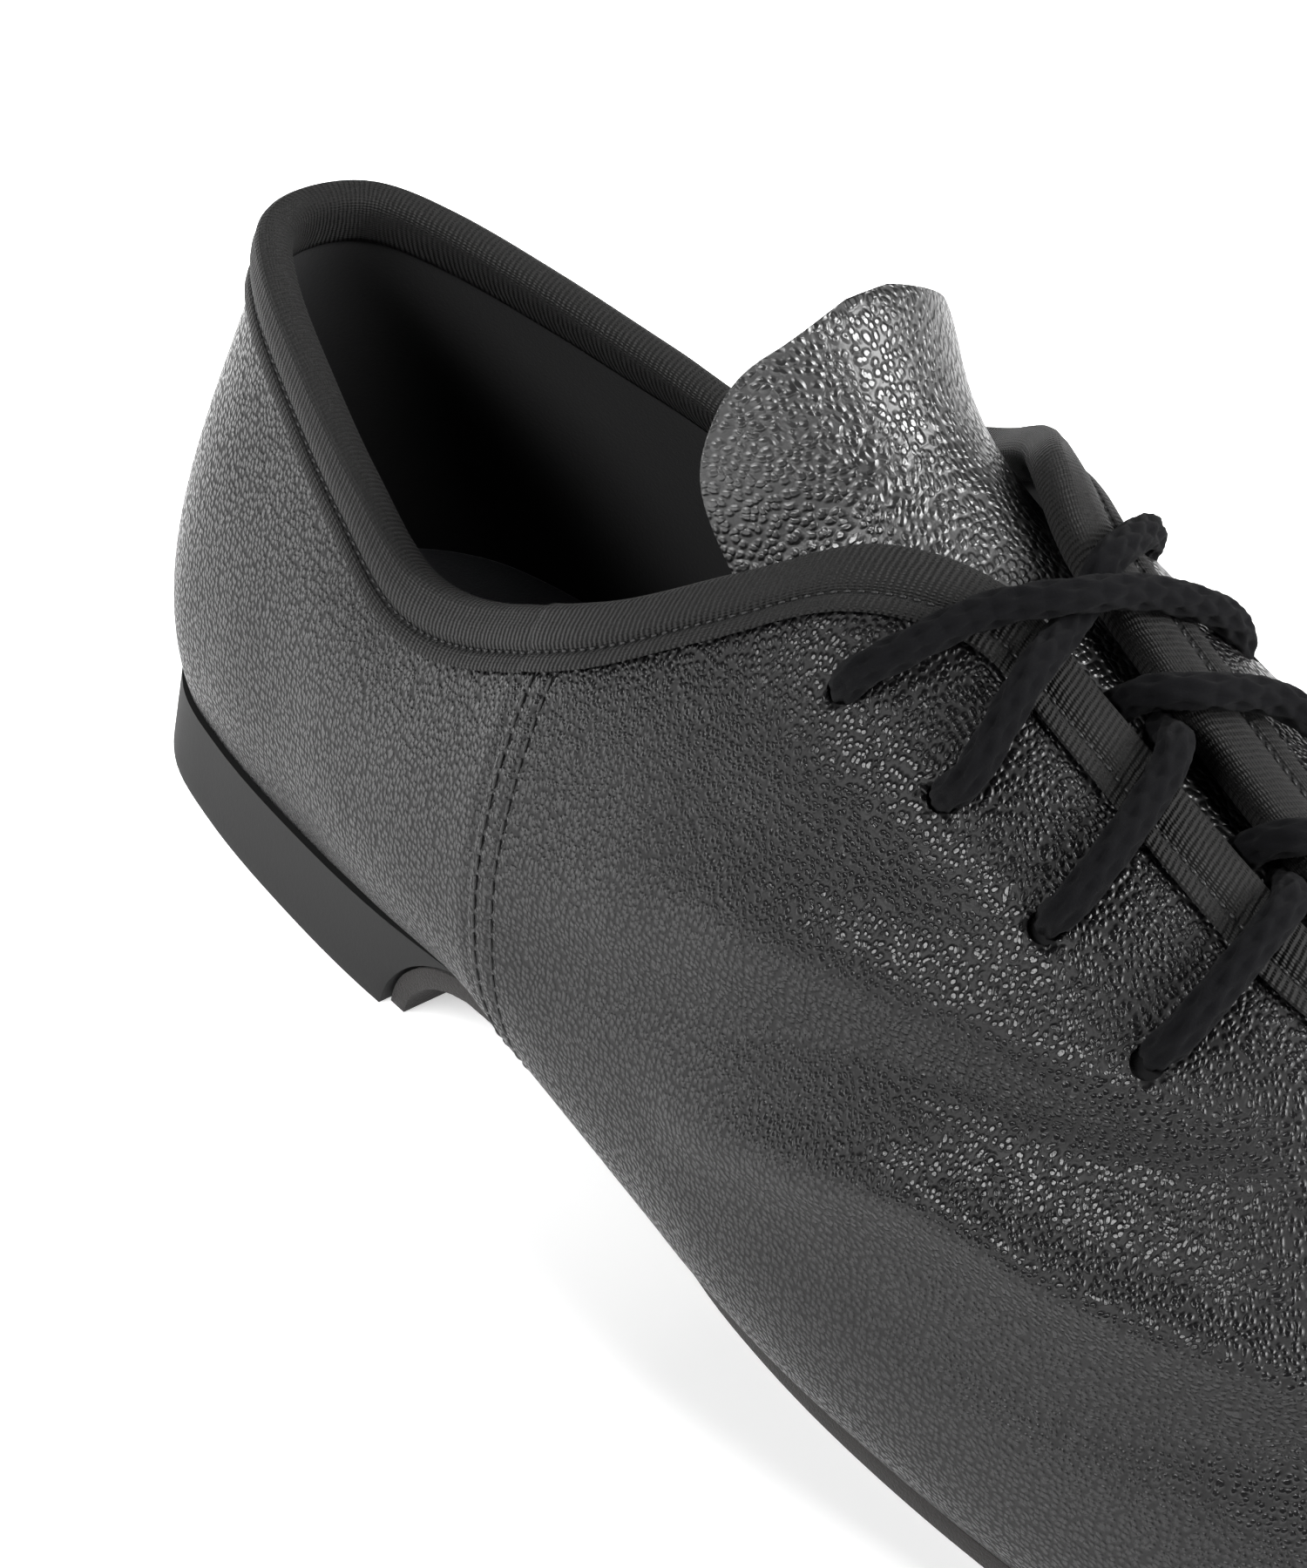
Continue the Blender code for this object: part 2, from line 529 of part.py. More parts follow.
def make_tongue(collection, material, surface):
    """Thin curved flap from under the vamp to well above the lacing, with a rounded end. Under the facings
    it lies low enough for the lace to pass between."""
    rows = curve_at(np.array(TONGUE), np.linspace(0, len(TONGUE) - 1, TONGUE_ROWS))
    row_of = dict(zip(TONGUE_COLUMNS, rows.T))
    middle = np.column_stack([
        row_of["x"] * FEATHER_LENGTH,
        row_of["lean"] * HALF_BALL,
        row_of["height"] * INSTEP_RISE + SOLE_THICK,
    ])
    square = np.cross(unit(np.gradient(middle, axis=0)), [0, 1, 0])
    across = np.sin(np.linspace(-1, 1, TONGUE_POINTS) * math.pi / 2)
    half = row_of["half"] * HALF_BALL
    sheet = middle[:, None, :] + np.array([0, 1, 0]) * np.outer(half, across)[:, :, None]
    sheet = sheet + square[:, None, :] * np.outer(half * row_of["curl"], across**2)[:, :, None]
    wall_room = WALL + LINING_GAP + BINDING_THICK + FIT_GAP * 2 + TONGUE_THICK / 2
    for row in sheet:
        if row[:, 0].min() > TONGUE_FREE * FEATHER_LENGTH:
            row[:, 2] = [min(z, surface.read(x, y)[0][2] - surface.tongue_room(x, y)) for x, y, z in row]
        row[:] = [surface.inside(point, wall_room) for point in row]
    mesh = make_mesh("tongue", sheet.reshape(-1, 3), grid_faces(*sheet.shape[:2]))
    tongue = add_object("tongue", mesh, collection, material)
    add_wall(tongue, TONGUE_THICK, 0)
    return tongue


def below_edge(line, depth):
    """The value of a section's line at this depth below its top end, measured along the line of points."""
    points, values = line
    steps = np.linalg.norm(np.diff(points[::-1], axis=0), axis=1)
    run = np.concatenate([[0], np.cumsum(steps)])
    return np.array([np.interp(depth, run, values[::-1, k]) for k in range(3)])


def binding_ring(points, normals, lift):
    """The tape's folded shape at one section of the wall, as a ring of points. Its outer leaf stands off
    the leather by the tape's gap and lift."""
    square = {d: unit(below_edge((points, normals), d * BINDING_WIDTH)) for d in BINDING_DEPTHS}
    place = {d: below_edge((points, points), d * BINDING_WIDTH) for d in BINDING_DEPTHS}
    near, far = BINDING_GAP, BINDING_GAP + BINDING_THICK
    inside, far_inside = WALL + LINING_GAP, WALL + LINING_GAP + BINDING_THICK
    edge, out = points[-1], square[BINDING_DEPTHS[-1]]
    up = unit(edge - place[BINDING_DEPTHS[-1]])
    out = unit(out - up * (out @ up))
    outer = [place[d] + square[d] * (far + lift) for d in BINDING_DEPTHS]
    outer += [edge + (out + up * FOLD_SHOULDER) * far, edge + up * far]
    outer += [edge - out * WALL + up * far, edge - out * far_inside + up * far * FOLD_SHOULDER]
    outer += [place[d] - square[d] * far_inside for d in BINDING_DEPTHS[:0:-1]]
    inner = [place[d] - square[d] * inside for d in BINDING_DEPTHS[1:]]
    inner += [edge - out * inside + up * near, edge + out * near + up * near]
    inner += [place[d] + square[d] * (near + lift) for d in BINDING_DEPTHS[::-1]]
    return np.array(outer + inner)


def make_binding(collection, material, surface):
    """Tape folded over the whole free edge: the collar and both edges of the lacing slit."""
    places = loop_places(STEPS_PER_SECTION, seam=True)
    grid, normal = last_surface(places, FINE_PROFILE)
    count = len(places)
    throat = int(np.searchsorted(places, THROAT))
    turn_start = int(np.searchsorted(places, THROAT - 1))
    turn_centre = (grid[turn_start, -1] + grid[count - turn_start, -1]) / 2
    rings = []
    for k in list(range(count - throat + 1, count)) + list(range(throat + 1)):
        line, out = grid[k], normal[k]
        if min(k, count - k) >= turn_start:
            # Round the front end of the slit the leaves fan out from its middle.
            ray = unit((line[-1] - turn_centre)[:2])
            reach = np.linspace(2 * BINDING_WIDTH, 0, FINE_PROFILE)[:, None]
            fan = [surface.read(x, y) for x, y in line[-1][:2] + ray * reach]
            line, out = np.array([p for p, _ in fan]), np.array([n for _, n in fan])
            line[-1] = grid[k, -1]
        rings.append(binding_ring(line, out, FIT_GAP if k == throat else 0.0))
    return add_object("binding", loft("binding", rings, closed=True), collection, material)


def tube(name, path, radius, sides=8):
    """A round cord along a path, with flat ends."""
    run = unit(np.gradient(path, axis=0))
    side = unit(np.cross(run, [0, 0, 1]))
    up = np.cross(side, run)
    angles = np.arange(sides) * 2 * math.pi / sides
    rings = [
        p + radius * (np.cos(angles)[:, None] * s + np.sin(angles)[:, None] * u)
        for p, s, u in zip(path, side, up)
    ]
    return loft(name, rings)


def strand(surface, start, end, sunk, over):
    """Path of a lace across the slit, from near one hole or from inside the slit to near the hole opposite.
    It rides on the leather and the tape, and higher where it lies over the other strand."""
    share = np.linspace(0, 1, STRAND_STEPS)
    tapes = np.interp(share, column(LACE_RIDE, RIDE_COLUMNS, "way"), column(LACE_RIDE, RIDE_COLUMNS, "tapes"))
    tapes[0] = sunk
    ride = LACE_DIAMETER / 2 + FIT_GAP + (BINDING_GAP + BINDING_THICK) * tapes
    middle = CROSSING_IN_SLIT if sunk < 0 else CROSSING_MIDDLE
    ride = ride + over * (LACE_DIAMETER - LACE_SINK) * np.exp(-((share - middle) / CROSSING_SPREAD) ** 2)
    path = []
    for s, lift in zip(share, ride):
        x, y = start + (end - start) * s
        point, normal = surface.read(x, y)
        path.append(point + normal * lift)
    return np.array(path)


def make_laces(collection, cutters, material, surface):
    """The crossings between each pair of lace holes and the next, each one joined solid."""
    outer, inner = eyelet_places(surface)
    for i in range(EYELET_PAIRS - 1):
        ends = []
        for own, opposite in ((outer, inner), (inner, outer)):
            start, end = own[i][0][:2], opposite[i + 1][0][:2]
            if i > 0:
                x = (own[i][0][0] + own[i + 1][0][0]) / 2
                edges = surface.slit(x)
                edge = edges[0] if own is outer else edges[1]
                middle = (edges[0][:2] + edges[1][:2]) / 2
                start = edge[:2] + unit(middle - edge[:2]) * SLIT_CLEAR
            run = unit(end - start)
            begin = start + run * (LACE_STOP if i == 0 else 0.0)
            ends.append((begin, end - run * LACE_STOP))
        sunk = SUNK_OUTSIDE if i == 0 else SUNK_IN_SLIT
        lower = tube("lace", strand(surface, *ends[1], sunk, 0.0), LACE_DIAMETER / 2)
        upper = tube("lace_over", strand(surface, *ends[0], sunk, 1.0), LACE_DIAMETER / 2)
        crossing = add_object(f"lace_crossing_{i + 1}", lower, collection, material)
        combine(crossing, add_object(f"lace_over_{i + 1}", upper, cutters), "UNION")


def build():
    for obj in list(bpy.data.objects):
        bpy.data.objects.remove(obj)
    shoe = bpy.data.collections.new("jazz_shoe")
    cutters = bpy.data.collections.new("cutters")
    bpy.context.scene.collection.children.link(shoe)
    bpy.context.scene.collection.children.link(cutters)
    leather = plain_material("black_leather", (0.030, 0.029, 0.030), 0.42)
    suede = plain_material("sole_suede", (0.022, 0.019, 0.018), 0.95)
    rubber = plain_material("heel_rubber", (0.012, 0.012, 0.012), 0.75)
    tape = plain_material("grosgrain_tape", (0.050, 0.048, 0.044), 0.85)
    sock = plain_material("sock_lining", (0.010, 0.010, 0.012), 0.90)
    cotton = plain_material("lace_cotton", (0.020, 0.021, 0.026), 0.90)
    surface = Surface()
    upper = make_upper(shoe, leather)
    punch_eyelets(upper, surface, cutters)
    make_outsole(shoe, suede)
    make_heel(shoe, rubber)
    make_insole(shoe, sock)
    make_tongue(shoe, leather, surface)
    make_binding(shoe, tape, surface)
    make_laces(shoe, cutters, cotton, surface)
    for obj in [*shoe.objects, *cutters.objects]:
        obj.location.x -= HEEL_LENGTH / 2


build()
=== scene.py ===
# Black leather jazz shoe for a right foot. Sizes are in millimetres, measured from the back of the foot,
# until a piece is made: then they become metres in the part's own frame.
import math

import bmesh
import bpy
import numpy as np
from mathutils import Matrix, Vector
from mathutils.bvhtree import BVHTree


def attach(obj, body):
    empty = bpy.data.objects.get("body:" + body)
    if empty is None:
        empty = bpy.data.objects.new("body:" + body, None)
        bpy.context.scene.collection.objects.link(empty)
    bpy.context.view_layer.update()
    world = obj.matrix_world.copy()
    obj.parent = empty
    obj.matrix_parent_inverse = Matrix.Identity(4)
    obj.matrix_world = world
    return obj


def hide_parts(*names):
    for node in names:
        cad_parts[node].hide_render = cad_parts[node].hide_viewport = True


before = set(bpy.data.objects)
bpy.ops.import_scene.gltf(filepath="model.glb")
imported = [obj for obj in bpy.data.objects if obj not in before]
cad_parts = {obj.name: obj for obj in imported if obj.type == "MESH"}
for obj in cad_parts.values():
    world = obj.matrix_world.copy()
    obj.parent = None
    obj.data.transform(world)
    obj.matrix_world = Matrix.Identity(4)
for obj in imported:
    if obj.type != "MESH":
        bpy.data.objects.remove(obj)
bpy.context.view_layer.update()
print("frame loaded")


def addObject(name, data):
    obj = bpy.data.objects.new(name, data)
    bpy.context.scene.collection.objects.link(obj)
    return obj


def meshFrom(bm, name):
    mesh = bpy.data.meshes.new(name)
    bm.to_mesh(mesh)
    bm.free()
    return mesh


# Camera: turned round the shoe, tipped down and rolled, with the view's middle moved right and up
camera = {
    "target": (56.7, 0.0, 40.0), "azimuth": 48.8, "elevation": 37.5, "roll": 4.3,
    "distance": 450.0, "right": 12.2, "up": 6.1, "sensor": 36.0, "lens": 91.7,
}


def addCamera():
    turn, tip, roll = (math.radians(camera[name]) for name in ("azimuth", "elevation", "roll"))
    back = Vector((math.sin(turn) * math.cos(tip), -math.cos(turn) * math.cos(tip), math.sin(tip)))
    side = Vector((0, 0, 1)).cross(back).normalized()
    axes = Matrix((side, back.cross(side), back)).transposed() @ Matrix.Rotation(roll, 3, "Z")
    offset = axes @ Vector((-camera["right"], -camera["up"], camera["distance"]))
    data = bpy.data.cameras.new("camera")
    data.sensor_fit = "VERTICAL"
    data.sensor_height = camera["sensor"]
    data.lens = camera["lens"]
    obj = addObject("camera", data)
    obj.matrix_world = Matrix.Translation((Vector(camera["target"]) + offset) / 1000) @ axes.to_4x4()
    bpy.context.scene.camera = obj


addCamera()

# The last, with the names of the part's source. Widths are half the ball of the foot.
last = {
    "length": 253.0, "halfBall": 38.5, "backRise": 58.0, "instepRise": 82.0, "toeRise": 40.0,
    "heelHeight": 11.6, "heelPitch": 1.0, "heelLength": 66.6, "heelSwing": 3.8, "swingReach": 0.40,
    "swingEase": 1.3, "soleThick": 2.6, "toeSpring": 5.0, "seatGap": 0.5,
}
sectionColumns = (
    "name", "footX", "footOuter", "footInner", "topX", "topOuter", "topInner", "back", "instep",
    "toe", "innerLift", "lowRise", "lowOut", "highReach", "highOut", "highDrop", "innerFull",
)
sections = (
    ("back", 0.004, 0, 0, 0.02, 0, 0, 1, 0, 0, 0, 0.24, 0.14, 0, 0.13, 0.24, 1),
    ("backTurn", 0.016, -0.374, 0.369, 0.032, -0.197, 0.197, 0.998, 0, 0, 0, 0.24, 0.14, 0, 0.13, 0.24, 1),
    ("heelCurve", 0.053, -0.618, 0.608, 0.069, -0.358, 0.317, 0.972, 0, 0, 0, 0.24, 0.14, 0, 0.14, 0.24, 1),
    ("heelSide", 0.107, -0.732, 0.706, 0.123, -0.488, 0.442, 0.9, 0, 0, 0.01, 0.23, 0.15, 0, 0.16, 0.22, 1),
    ("heelFront", 0.178, -0.805, 0.727, 0.184, -0.608, 0.556, 0.82, 0, 0, 0.02, 0.22, 0.18, 0,
     0.18, 0.2, 1),
    ("ankle", 0.253, -0.842, 0.675, 0.247, -0.696, 0.649, 0.755, 0, 0, 0.03, 0.17, 0.31, 0, 0.22, 0.18, 1),
    ("waistBack", 0.332, -0.826, 0.571, 0.314, -0.727, 0.706, 0.6, 0.175, 0, 0.04, 0.16, 0.44, 0,
     0.29, 0.19, 0.95),
    ("waist", 0.403, -0.81, 0.532, 0.375, -0.717, 0.665, 0.38, 0.47, 0, 0.04, 0.16, 0.49, 0.1,
     0.34, 0.22, 0.9),
    ("waistFront", 0.466, -0.842, 0.597, 0.431, -0.571, 0.455, 0.16, 0.785, 0, 0.06, 0.17, 0.48,
     0.5, 0.34, 0.21, 0.8),
    ("laceCorner", 0.522, -0.894, 0.727, 0.474, -0.371, 0.223, 0, 1, 0, 0.05, 0.2, 0.48, 0.75,
     0.21, 0.15, 0.78),
    ("laceTop", 0.573, -0.925, 0.87, 0.518, -0.213, 0.088, 0, 1, 0, 0.02, 0.21, 0.47, 0.8, 0.1, 0.06, 0.78),
    ("ballBack", 0.625, -0.93, 0.966, 0.569, -0.179, 0.068, 0, 0.934, 0, 0.01, 0.24, 0.44, 0.8,
     0.05, 0.03, 0.8),
    ("ball", 0.676, -0.914, 1.029, 0.625, -0.161, 0.062, 0, 0.864, 0, 0, 0.23, 0.39, 0.8, 0.03, 0.03, 0.85),
    ("ballFront", 0.727, -0.878, 1.055, 0.676, -0.14, 0.068, 0, 0.806, 0, 0, 0.22, 0.34, 0.78, 0,
     0.04, 0.9),
    ("laceFoot", 0.775, -0.831, 1.049, 0.709, -0.094, 0.078, 0, 0.774, 0, 0, 0.21, 0.29, 0.74, 0, 0.06, 1),
    ("throat", 0.818, -0.774, 1.023, 0.722, -0.005, -0.005, 0, 0.76, 0, 0, 0.2, 0.25, 0.7, 0, 0.09, 1),
    ("vamp", 0.862, -0.696, 0.977, 0.747, 0.01, 0.01, 0, 0.5, 0.46, 0, 0.18, 0.22, 0.66, 0, 0.12, 1),
    ("toeBack", 0.901, -0.597, 0.909, 0.775, 0.034, 0.034, 0, 0.25, 0.87, 0, 0.17, 0.21, 0.64, 0, 0.14, 1),
    ("toeSide", 0.941, -0.462, 0.816, 0.802, 0.062, 0.062, 0, 0.1, 1.07, 0, 0.16, 0.19, 0.6, 0, 0.15, 1),
    ("toeCurve", 0.972, -0.275, 0.681, 0.83, 0.094, 0.094, 0, 0.03, 1.11, 0, 0.16, 0.18, 0.58, 0, 0.14, 1),
    ("toeTurn", 0.993, -0.036, 0.478, 0.854, 0.13, 0.13, 0, 0, 1.08, 0, 0.16, 0.17, 0.56, 0, 0.13, 1),
    ("toeTip", 1, 0.218, 0.218, 0.87, 0.161, 0.161, 0, 0, 1.03, 0, 0.16, 0.17, 0.54, 0, 0.12, 1),
)
throat = [row[0] for row in sections].index("throat")
toe = len(sections) - 1
soleColumns = ("x", "waist", "spring")
soleProfile = (
    (0.3, 1, 0), (0.33, 0.985, 0), (0.37, 0.74, 0), (0.43, 0.33, 0), (0.485, 0.08, 0), (0.54, 0, 0),
    (0.74, 0, 0), (0.85, 0, 0), (0.9, 0, 0.12), (0.95, 0, 0.45), (1, 0, 1),
)


def column(table, names, name):
    return np.array([row[names.index(name)] for row in table], float)


# A smooth curve through rows of values, read at these row numbers, fractions included
def curveAt(points, places, closed=False):
    rows = np.asarray(points, float)
    if closed:
        padded = np.vstack([rows[-1:], rows, rows[:2]])
    else:
        padded = np.vstack([2 * rows[0] - rows[1], rows, 2 * rows[-1] - rows[-2]])
    first = np.minimum(np.floor(places).astype(int), len(padded) - 4)
    t = (places - first)[:, None]
    a, b, c, d = (padded[first + k] for k in range(4))
    return 0.5 * (2 * b + (c - a) * t + (2 * a - 5 * b + 4 * c - d) * t**2 + (3 * b - a - 3 * c + d) * t**3)


def unit(vectors):
    return vectors / np.maximum(np.linalg.norm(vectors, axis=-1, keepdims=True), 1e-9)


def soleUnderside(x):
    waist = last["heelHeight"] - last["soleThick"]
    xs = column(soleProfile, soleColumns, "x") * last["length"]
    rise = column(soleProfile, soleColumns, "waist") * waist
    rise = rise + column(soleProfile, soleColumns, "spring") * last["toeSpring"]
    fine = curveAt(np.column_stack([xs, rise]), np.arange(0, len(xs) - 0.9, 0.125))
    return np.interp(x, fine[:, 0], np.clip(fine[:, 1], 0, max(waist, last["toeSpring"])))


def seatHeight(x):
    x = np.asarray(x, float)
    front = soleProfile[0][0] * last["length"]
    seat = last["heelHeight"] - last["heelPitch"] * (front - x) / front
    return np.where(x < front, seat, soleUnderside(x) + last["soleThick"])


# Row numbers once round the shoe, the same down either side, with more rows where a piece needs them
def loopPlaces(steps, more=()):
    side = np.unique(np.round(np.concatenate([np.arange(0, toe + 0.001, 1 / steps), more]), 4))
    return np.concatenate([side, 2 * toe - side[-2:0:-1]])


def sectionLoop(places):
    value = {name: column(sections, sectionColumns, name) for name in sectionColumns[1:]}
    rise = value["back"] * last["backRise"] + value["instep"] * last["instepRise"]
    rise = rise + value["toe"] * last["toeRise"]
    sides = []
    for side in ("Outer", "Inner"):
        lift = value["innerLift"] * last["backRise"] if side == "Inner" else 0
        full = value["innerFull"] if side == "Inner" else 1
        sides.append(np.column_stack([
            value["footX"] * last["length"], value["foot" + side] * last["halfBall"],
            value["topX"] * last["length"], value["top" + side] * last["halfBall"], rise + lift,
            value["lowRise"] * last["instepRise"], value["lowOut"] * last["halfBall"],
            value["highReach"] * full, value["highOut"] * last["halfBall"] * full,
            value["highDrop"] * last["instepRise"],
        ]))
    loop = np.vstack([sides[0], sides[1][-2:0:-1]])
    for x, y in ((0, 1), (2, 3)):
        ease = np.clip(1 - loop[:, x] / (last["swingReach"] * last["length"]), 0, 1) ** last["swingEase"]
        loop[:, y] -= last["heelSwing"] * ease
    read = curveAt(loop, places, closed=True)
    for k in np.where((places >= throat) & (places < toe))[0]:
        shared = (read[k, 2:5] + read[-k, 2:5]) / 2
        read[k, 2:5] = shared
        read[-k, 2:5] = shared
    return read


def outward(loop):
    ahead = np.roll(loop[:, :2], -1, axis=0) - np.roll(loop[:, :2], 1, axis=0)
    return unit(np.column_stack([ahead[:, 1], -ahead[:, 0]]))


def gridNormals(grid):
    along = np.roll(grid, -1, axis=0) - np.roll(grid, 1, axis=0)
    return unit(np.cross(along, np.gradient(grid, axis=1)))


# The last's bare surface, one row of points for each section, foot to top
def bareSurface(places, profileSteps):
    loop = sectionLoop(places)
    out = outward(loop)
    foot = np.column_stack([loop[:, :2], seatHeight(loop[:, 0]) + last["seatGap"]])
    top = np.column_stack([loop[:, 2:4], seatHeight(loop[:, 2]) + loop[:, 4]])
    low = foot + np.column_stack([out * loop[:, 6:7], loop[:, 5]])
    reach = (foot[:, :2] - top[:, :2]) * loop[:, 7:8]
    high = top + np.column_stack([reach + out * loop[:, 8:9], -loop[:, 9]])
    t = np.linspace(0, 1, profileSteps + 1)[None, :, None]
    a, b, c, d = (p[:, None, :] for p in (foot, low, high, top))
    return (1 - t) ** 3 * a + 3 * (1 - t) ** 2 * t * b + 3 * (1 - t) * t**2 * c + t**3 * d


# Soft folds of worn leather: points as section number and share of the way up, then height and half width
folds = (
    {"height": 2.8, "width": 3.8,
     "line": ((9.0, 0.37), (10.3, 0.40), (11.4, 0.46), (12.7, 0.50), (14.2, 0.55), (15.6, 0.61))},
    {"height": -1.2, "width": 4.2,
     "line": ((9.4, 0.27), (10.7, 0.31), (12.2, 0.35), (13.2, 0.39), (14.4, 0.44), (15.8, 0.50))},
    {"height": 0.7, "width": 5.5,
     "line": ((8.8, 0.27), (10.0, 0.29), (11.7, 0.34), (13.0, 0.39), (14.5, 0.43))},
    {"height": -1.6, "width": 4.6,
     "line": ((7.2, 0.46), (9.0, 0.49), (10.7, 0.55), (12.2, 0.62), (13.3, 0.68), (14.4, 0.73))},
    {"height": 0.9, "width": 5.5,
     "line": ((7.0, 0.57), (8.2, 0.59), (9.3, 0.58), (11.0, 0.61), (12.0, 0.66), (13.0, 0.74))},
    {"height": -0.7, "width": 5.0,
     "line": ((8.6, 0.70), (9.9, 0.66), (10.8, 0.67), (11.8, 0.70))},
    {"height": 0.7, "width": 4.5,
     "line": ((13.0, 0.88), (13.8, 0.84), (14.6, 0.86))},
    {"height": -0.5, "width": 8.0,
     "line": ((3.2, 0.30), (4.6, 0.42), (5.6, 0.52))},
    {"height": 1.1, "width": 5.0,
     "line": ((30.2, 0.44), (28.8, 0.48), (27.6, 0.55), (26.4, 0.62))},
    {"height": -1.0, "width": 5.0,
     "line": ((30.0, 0.33), (28.6, 0.37), (27.2, 0.43), (26.2, 0.50))},
    {"height": -0.8, "width": 6.0,
     "line": ((33.4, 0.50), (31.6, 0.55), (30.0, 0.60), (28.6, 0.66))},
    {"height": -0.5, "width": 8.0,
     "line": ((38.4, 0.32), (37.2, 0.42), (36.2, 0.50))},
)
foldSteps = 8  # sections are read this finely to place the folds
foldProfile = 100
foldGrid = bareSurface(loopPlaces(foldSteps), foldProfile)


def foldHeight(points):
    total = np.zeros(points.shape[:-1])
    for fold in folds:
        rows = [int(round(place * foldSteps)) % len(foldGrid) for place, _ in fold["line"]]
        line = foldGrid[rows, [int(round(share * foldProfile)) for _, share in fold["line"]]]
        places = np.linspace(0, len(line) - 1, 8 * len(line))
        path = curveAt(line, np.minimum(places, len(line) - 1.001))
        fade = np.sin(np.linspace(0.04, 0.96, len(path)) * math.pi) ** 0.6
        best = np.full(total.shape, 1e9)
        weight = np.zeros(total.shape)
        for point, share in zip(path, fade):
            away = np.linalg.norm(points - point, axis=-1)
            closer = away < best
            best = np.where(closer, away, best)
            weight = np.where(closer, share, weight)
        total += fold["height"] * weight * np.exp(-((best / fold["width"]) ** 2))
    return total


# Upper: the forepart laps over the back part at the side seam, with two rows of stitches ahead of its raw
# edge. Places along the shoe are section numbers.
upper = {
    "wall": 2.0, "leather": 1.2, "lining": 0.6, "liningGap": 0.1, "seamPlace": 6.5, "seamStep": 0.7,
    "seamBlunt": 0.035, "seamBehind": 0.15, "seamAhead": 0.45, "bulge": 0.25, "bulgeBehind": 0.12,
    "bulgeWidth": 0.09, "stitchRows": (0.095, 0.29), "stitchSink": 0.22, "grooveWidth": 0.035,
    "stitchPitch": 2.35, "stitchShare": 0.86, "stitchThick": 0.5, "stitchLift": 0.10, "steps": 8,
    "profile": 84, "liningSteps": 4, "liningProfile": 40, "eyeletFirst": 126.8, "eyeletPitch": 15.1,
    "eyeletOuter": -24.0, "eyeletInner": 17.9, "eyeletCloser": 0.25, "eyeletRadius": 1.75, "eyelets": 4,
    "punchLength": 12.0,
}


def sidePlaces(places):
    return np.minimum(places, 2 * toe - places)


# Outer face of the leather, with its folds, its seam and the grooves that the stitches pull
def outerSurface(places, profileSteps, shift=0.0, seam=True):
    grid = bareSurface(places, profileSteps)
    normal = gridNormals(grid)
    ahead = sidePlaces(places) - upper["seamPlace"]
    rise = np.clip(ahead / upper["seamBlunt"], 0, 1) * upper["seamStep"]
    if seam:
        for row in upper["stitchRows"]:
            rise = rise - upper["stitchSink"] * np.exp(-(((ahead - row) / upper["grooveWidth"]) ** 2))
        rise = rise + upper["bulge"] * np.exp(-(((ahead + upper["bulgeBehind"]) / upper["bulgeWidth"]) ** 2))
    grid = grid + normal * (rise[:, None] + foldHeight(grid) + shift)[..., None]
    return grid, gridNormals(grid)


fineGrid = outerSurface(loopPlaces(6), 60)[0]
print("last worked out")


# The top of the leather read by its place in plan, carried straight across the lacing slit
class Instep:
    def __init__(self):
        rows, columns = fineGrid.shape[:2]
        starts = [(i * columns, (i + 1) % rows * columns) for i in range(rows)]
        faces = [(a + j, b + j, b + j + 1, a + j + 1) for a, b in starts for j in range(columns - 1)]
        self.tree = BVHTree.FromPolygons([Vector(p) for p in fineGrid.reshape(-1, 3)], faces)
        half = rows // 2
        self.sides = [fineGrid[1:half, -1], fineGrid[half + 1:, -1]]
        self.sides = [side[side[:, 0] > last["length"] / 2] for side in self.sides]

    def slit(self, x):
        return [side[np.argmin(np.abs(side[:, 0] - x))] for side in self.sides]

    def read(self, x, y):
        outer, inner = self.slit(x)
        front = max(side[:, 0].max() for side in self.sides if len(side))
        hit, normal, _, _ = self.tree.ray_cast(Vector((x, y, 200)), Vector((0, 0, -1)))
        slitFront = sections[throat][4] * last["length"]
        if outer[1] < y < inner[1] and x < min(front, slitFront):
            share = (y - outer[1]) / (inner[1] - outer[1])
            edge, edgeNormal, _, _ = self.tree.find_nearest(Vector(outer * (1 - share) + inner * share))
            lean = unit(np.array([edgeNormal.x, 0, abs(edgeNormal.z)]))
            return np.array([x, y, outer[2] + (inner[2] - outer[2]) * share]), lean
        if hit is None:
            hit, normal, _, _ = self.tree.find_nearest(Vector((x, y, fineGrid[..., 2].max())))
        facing = normal if normal.z > 0 else -normal
        return np.array(hit), np.array(facing)

    def inside(self, point, room):
        near, normal, _, _ = self.tree.find_nearest(Vector(point))
        facing = np.array(normal)
        middle = np.array([near.x, 0, near.z / 2])
        if (np.array(near) - middle) @ facing < 0:
            facing = -facing
        short = room - (np.array(near) - point) @ facing
        share = np.clip((room * 1.7 - (near - Vector(point)).length) / (room * 0.6), 0, 1)
        if share > 0 and short > 0:
            return point - facing * short * share
        return point


instep = Instep()


def toPart(points):
    return (np.asarray(points) - [last["heelLength"] / 2, 0, 0]) / 1000


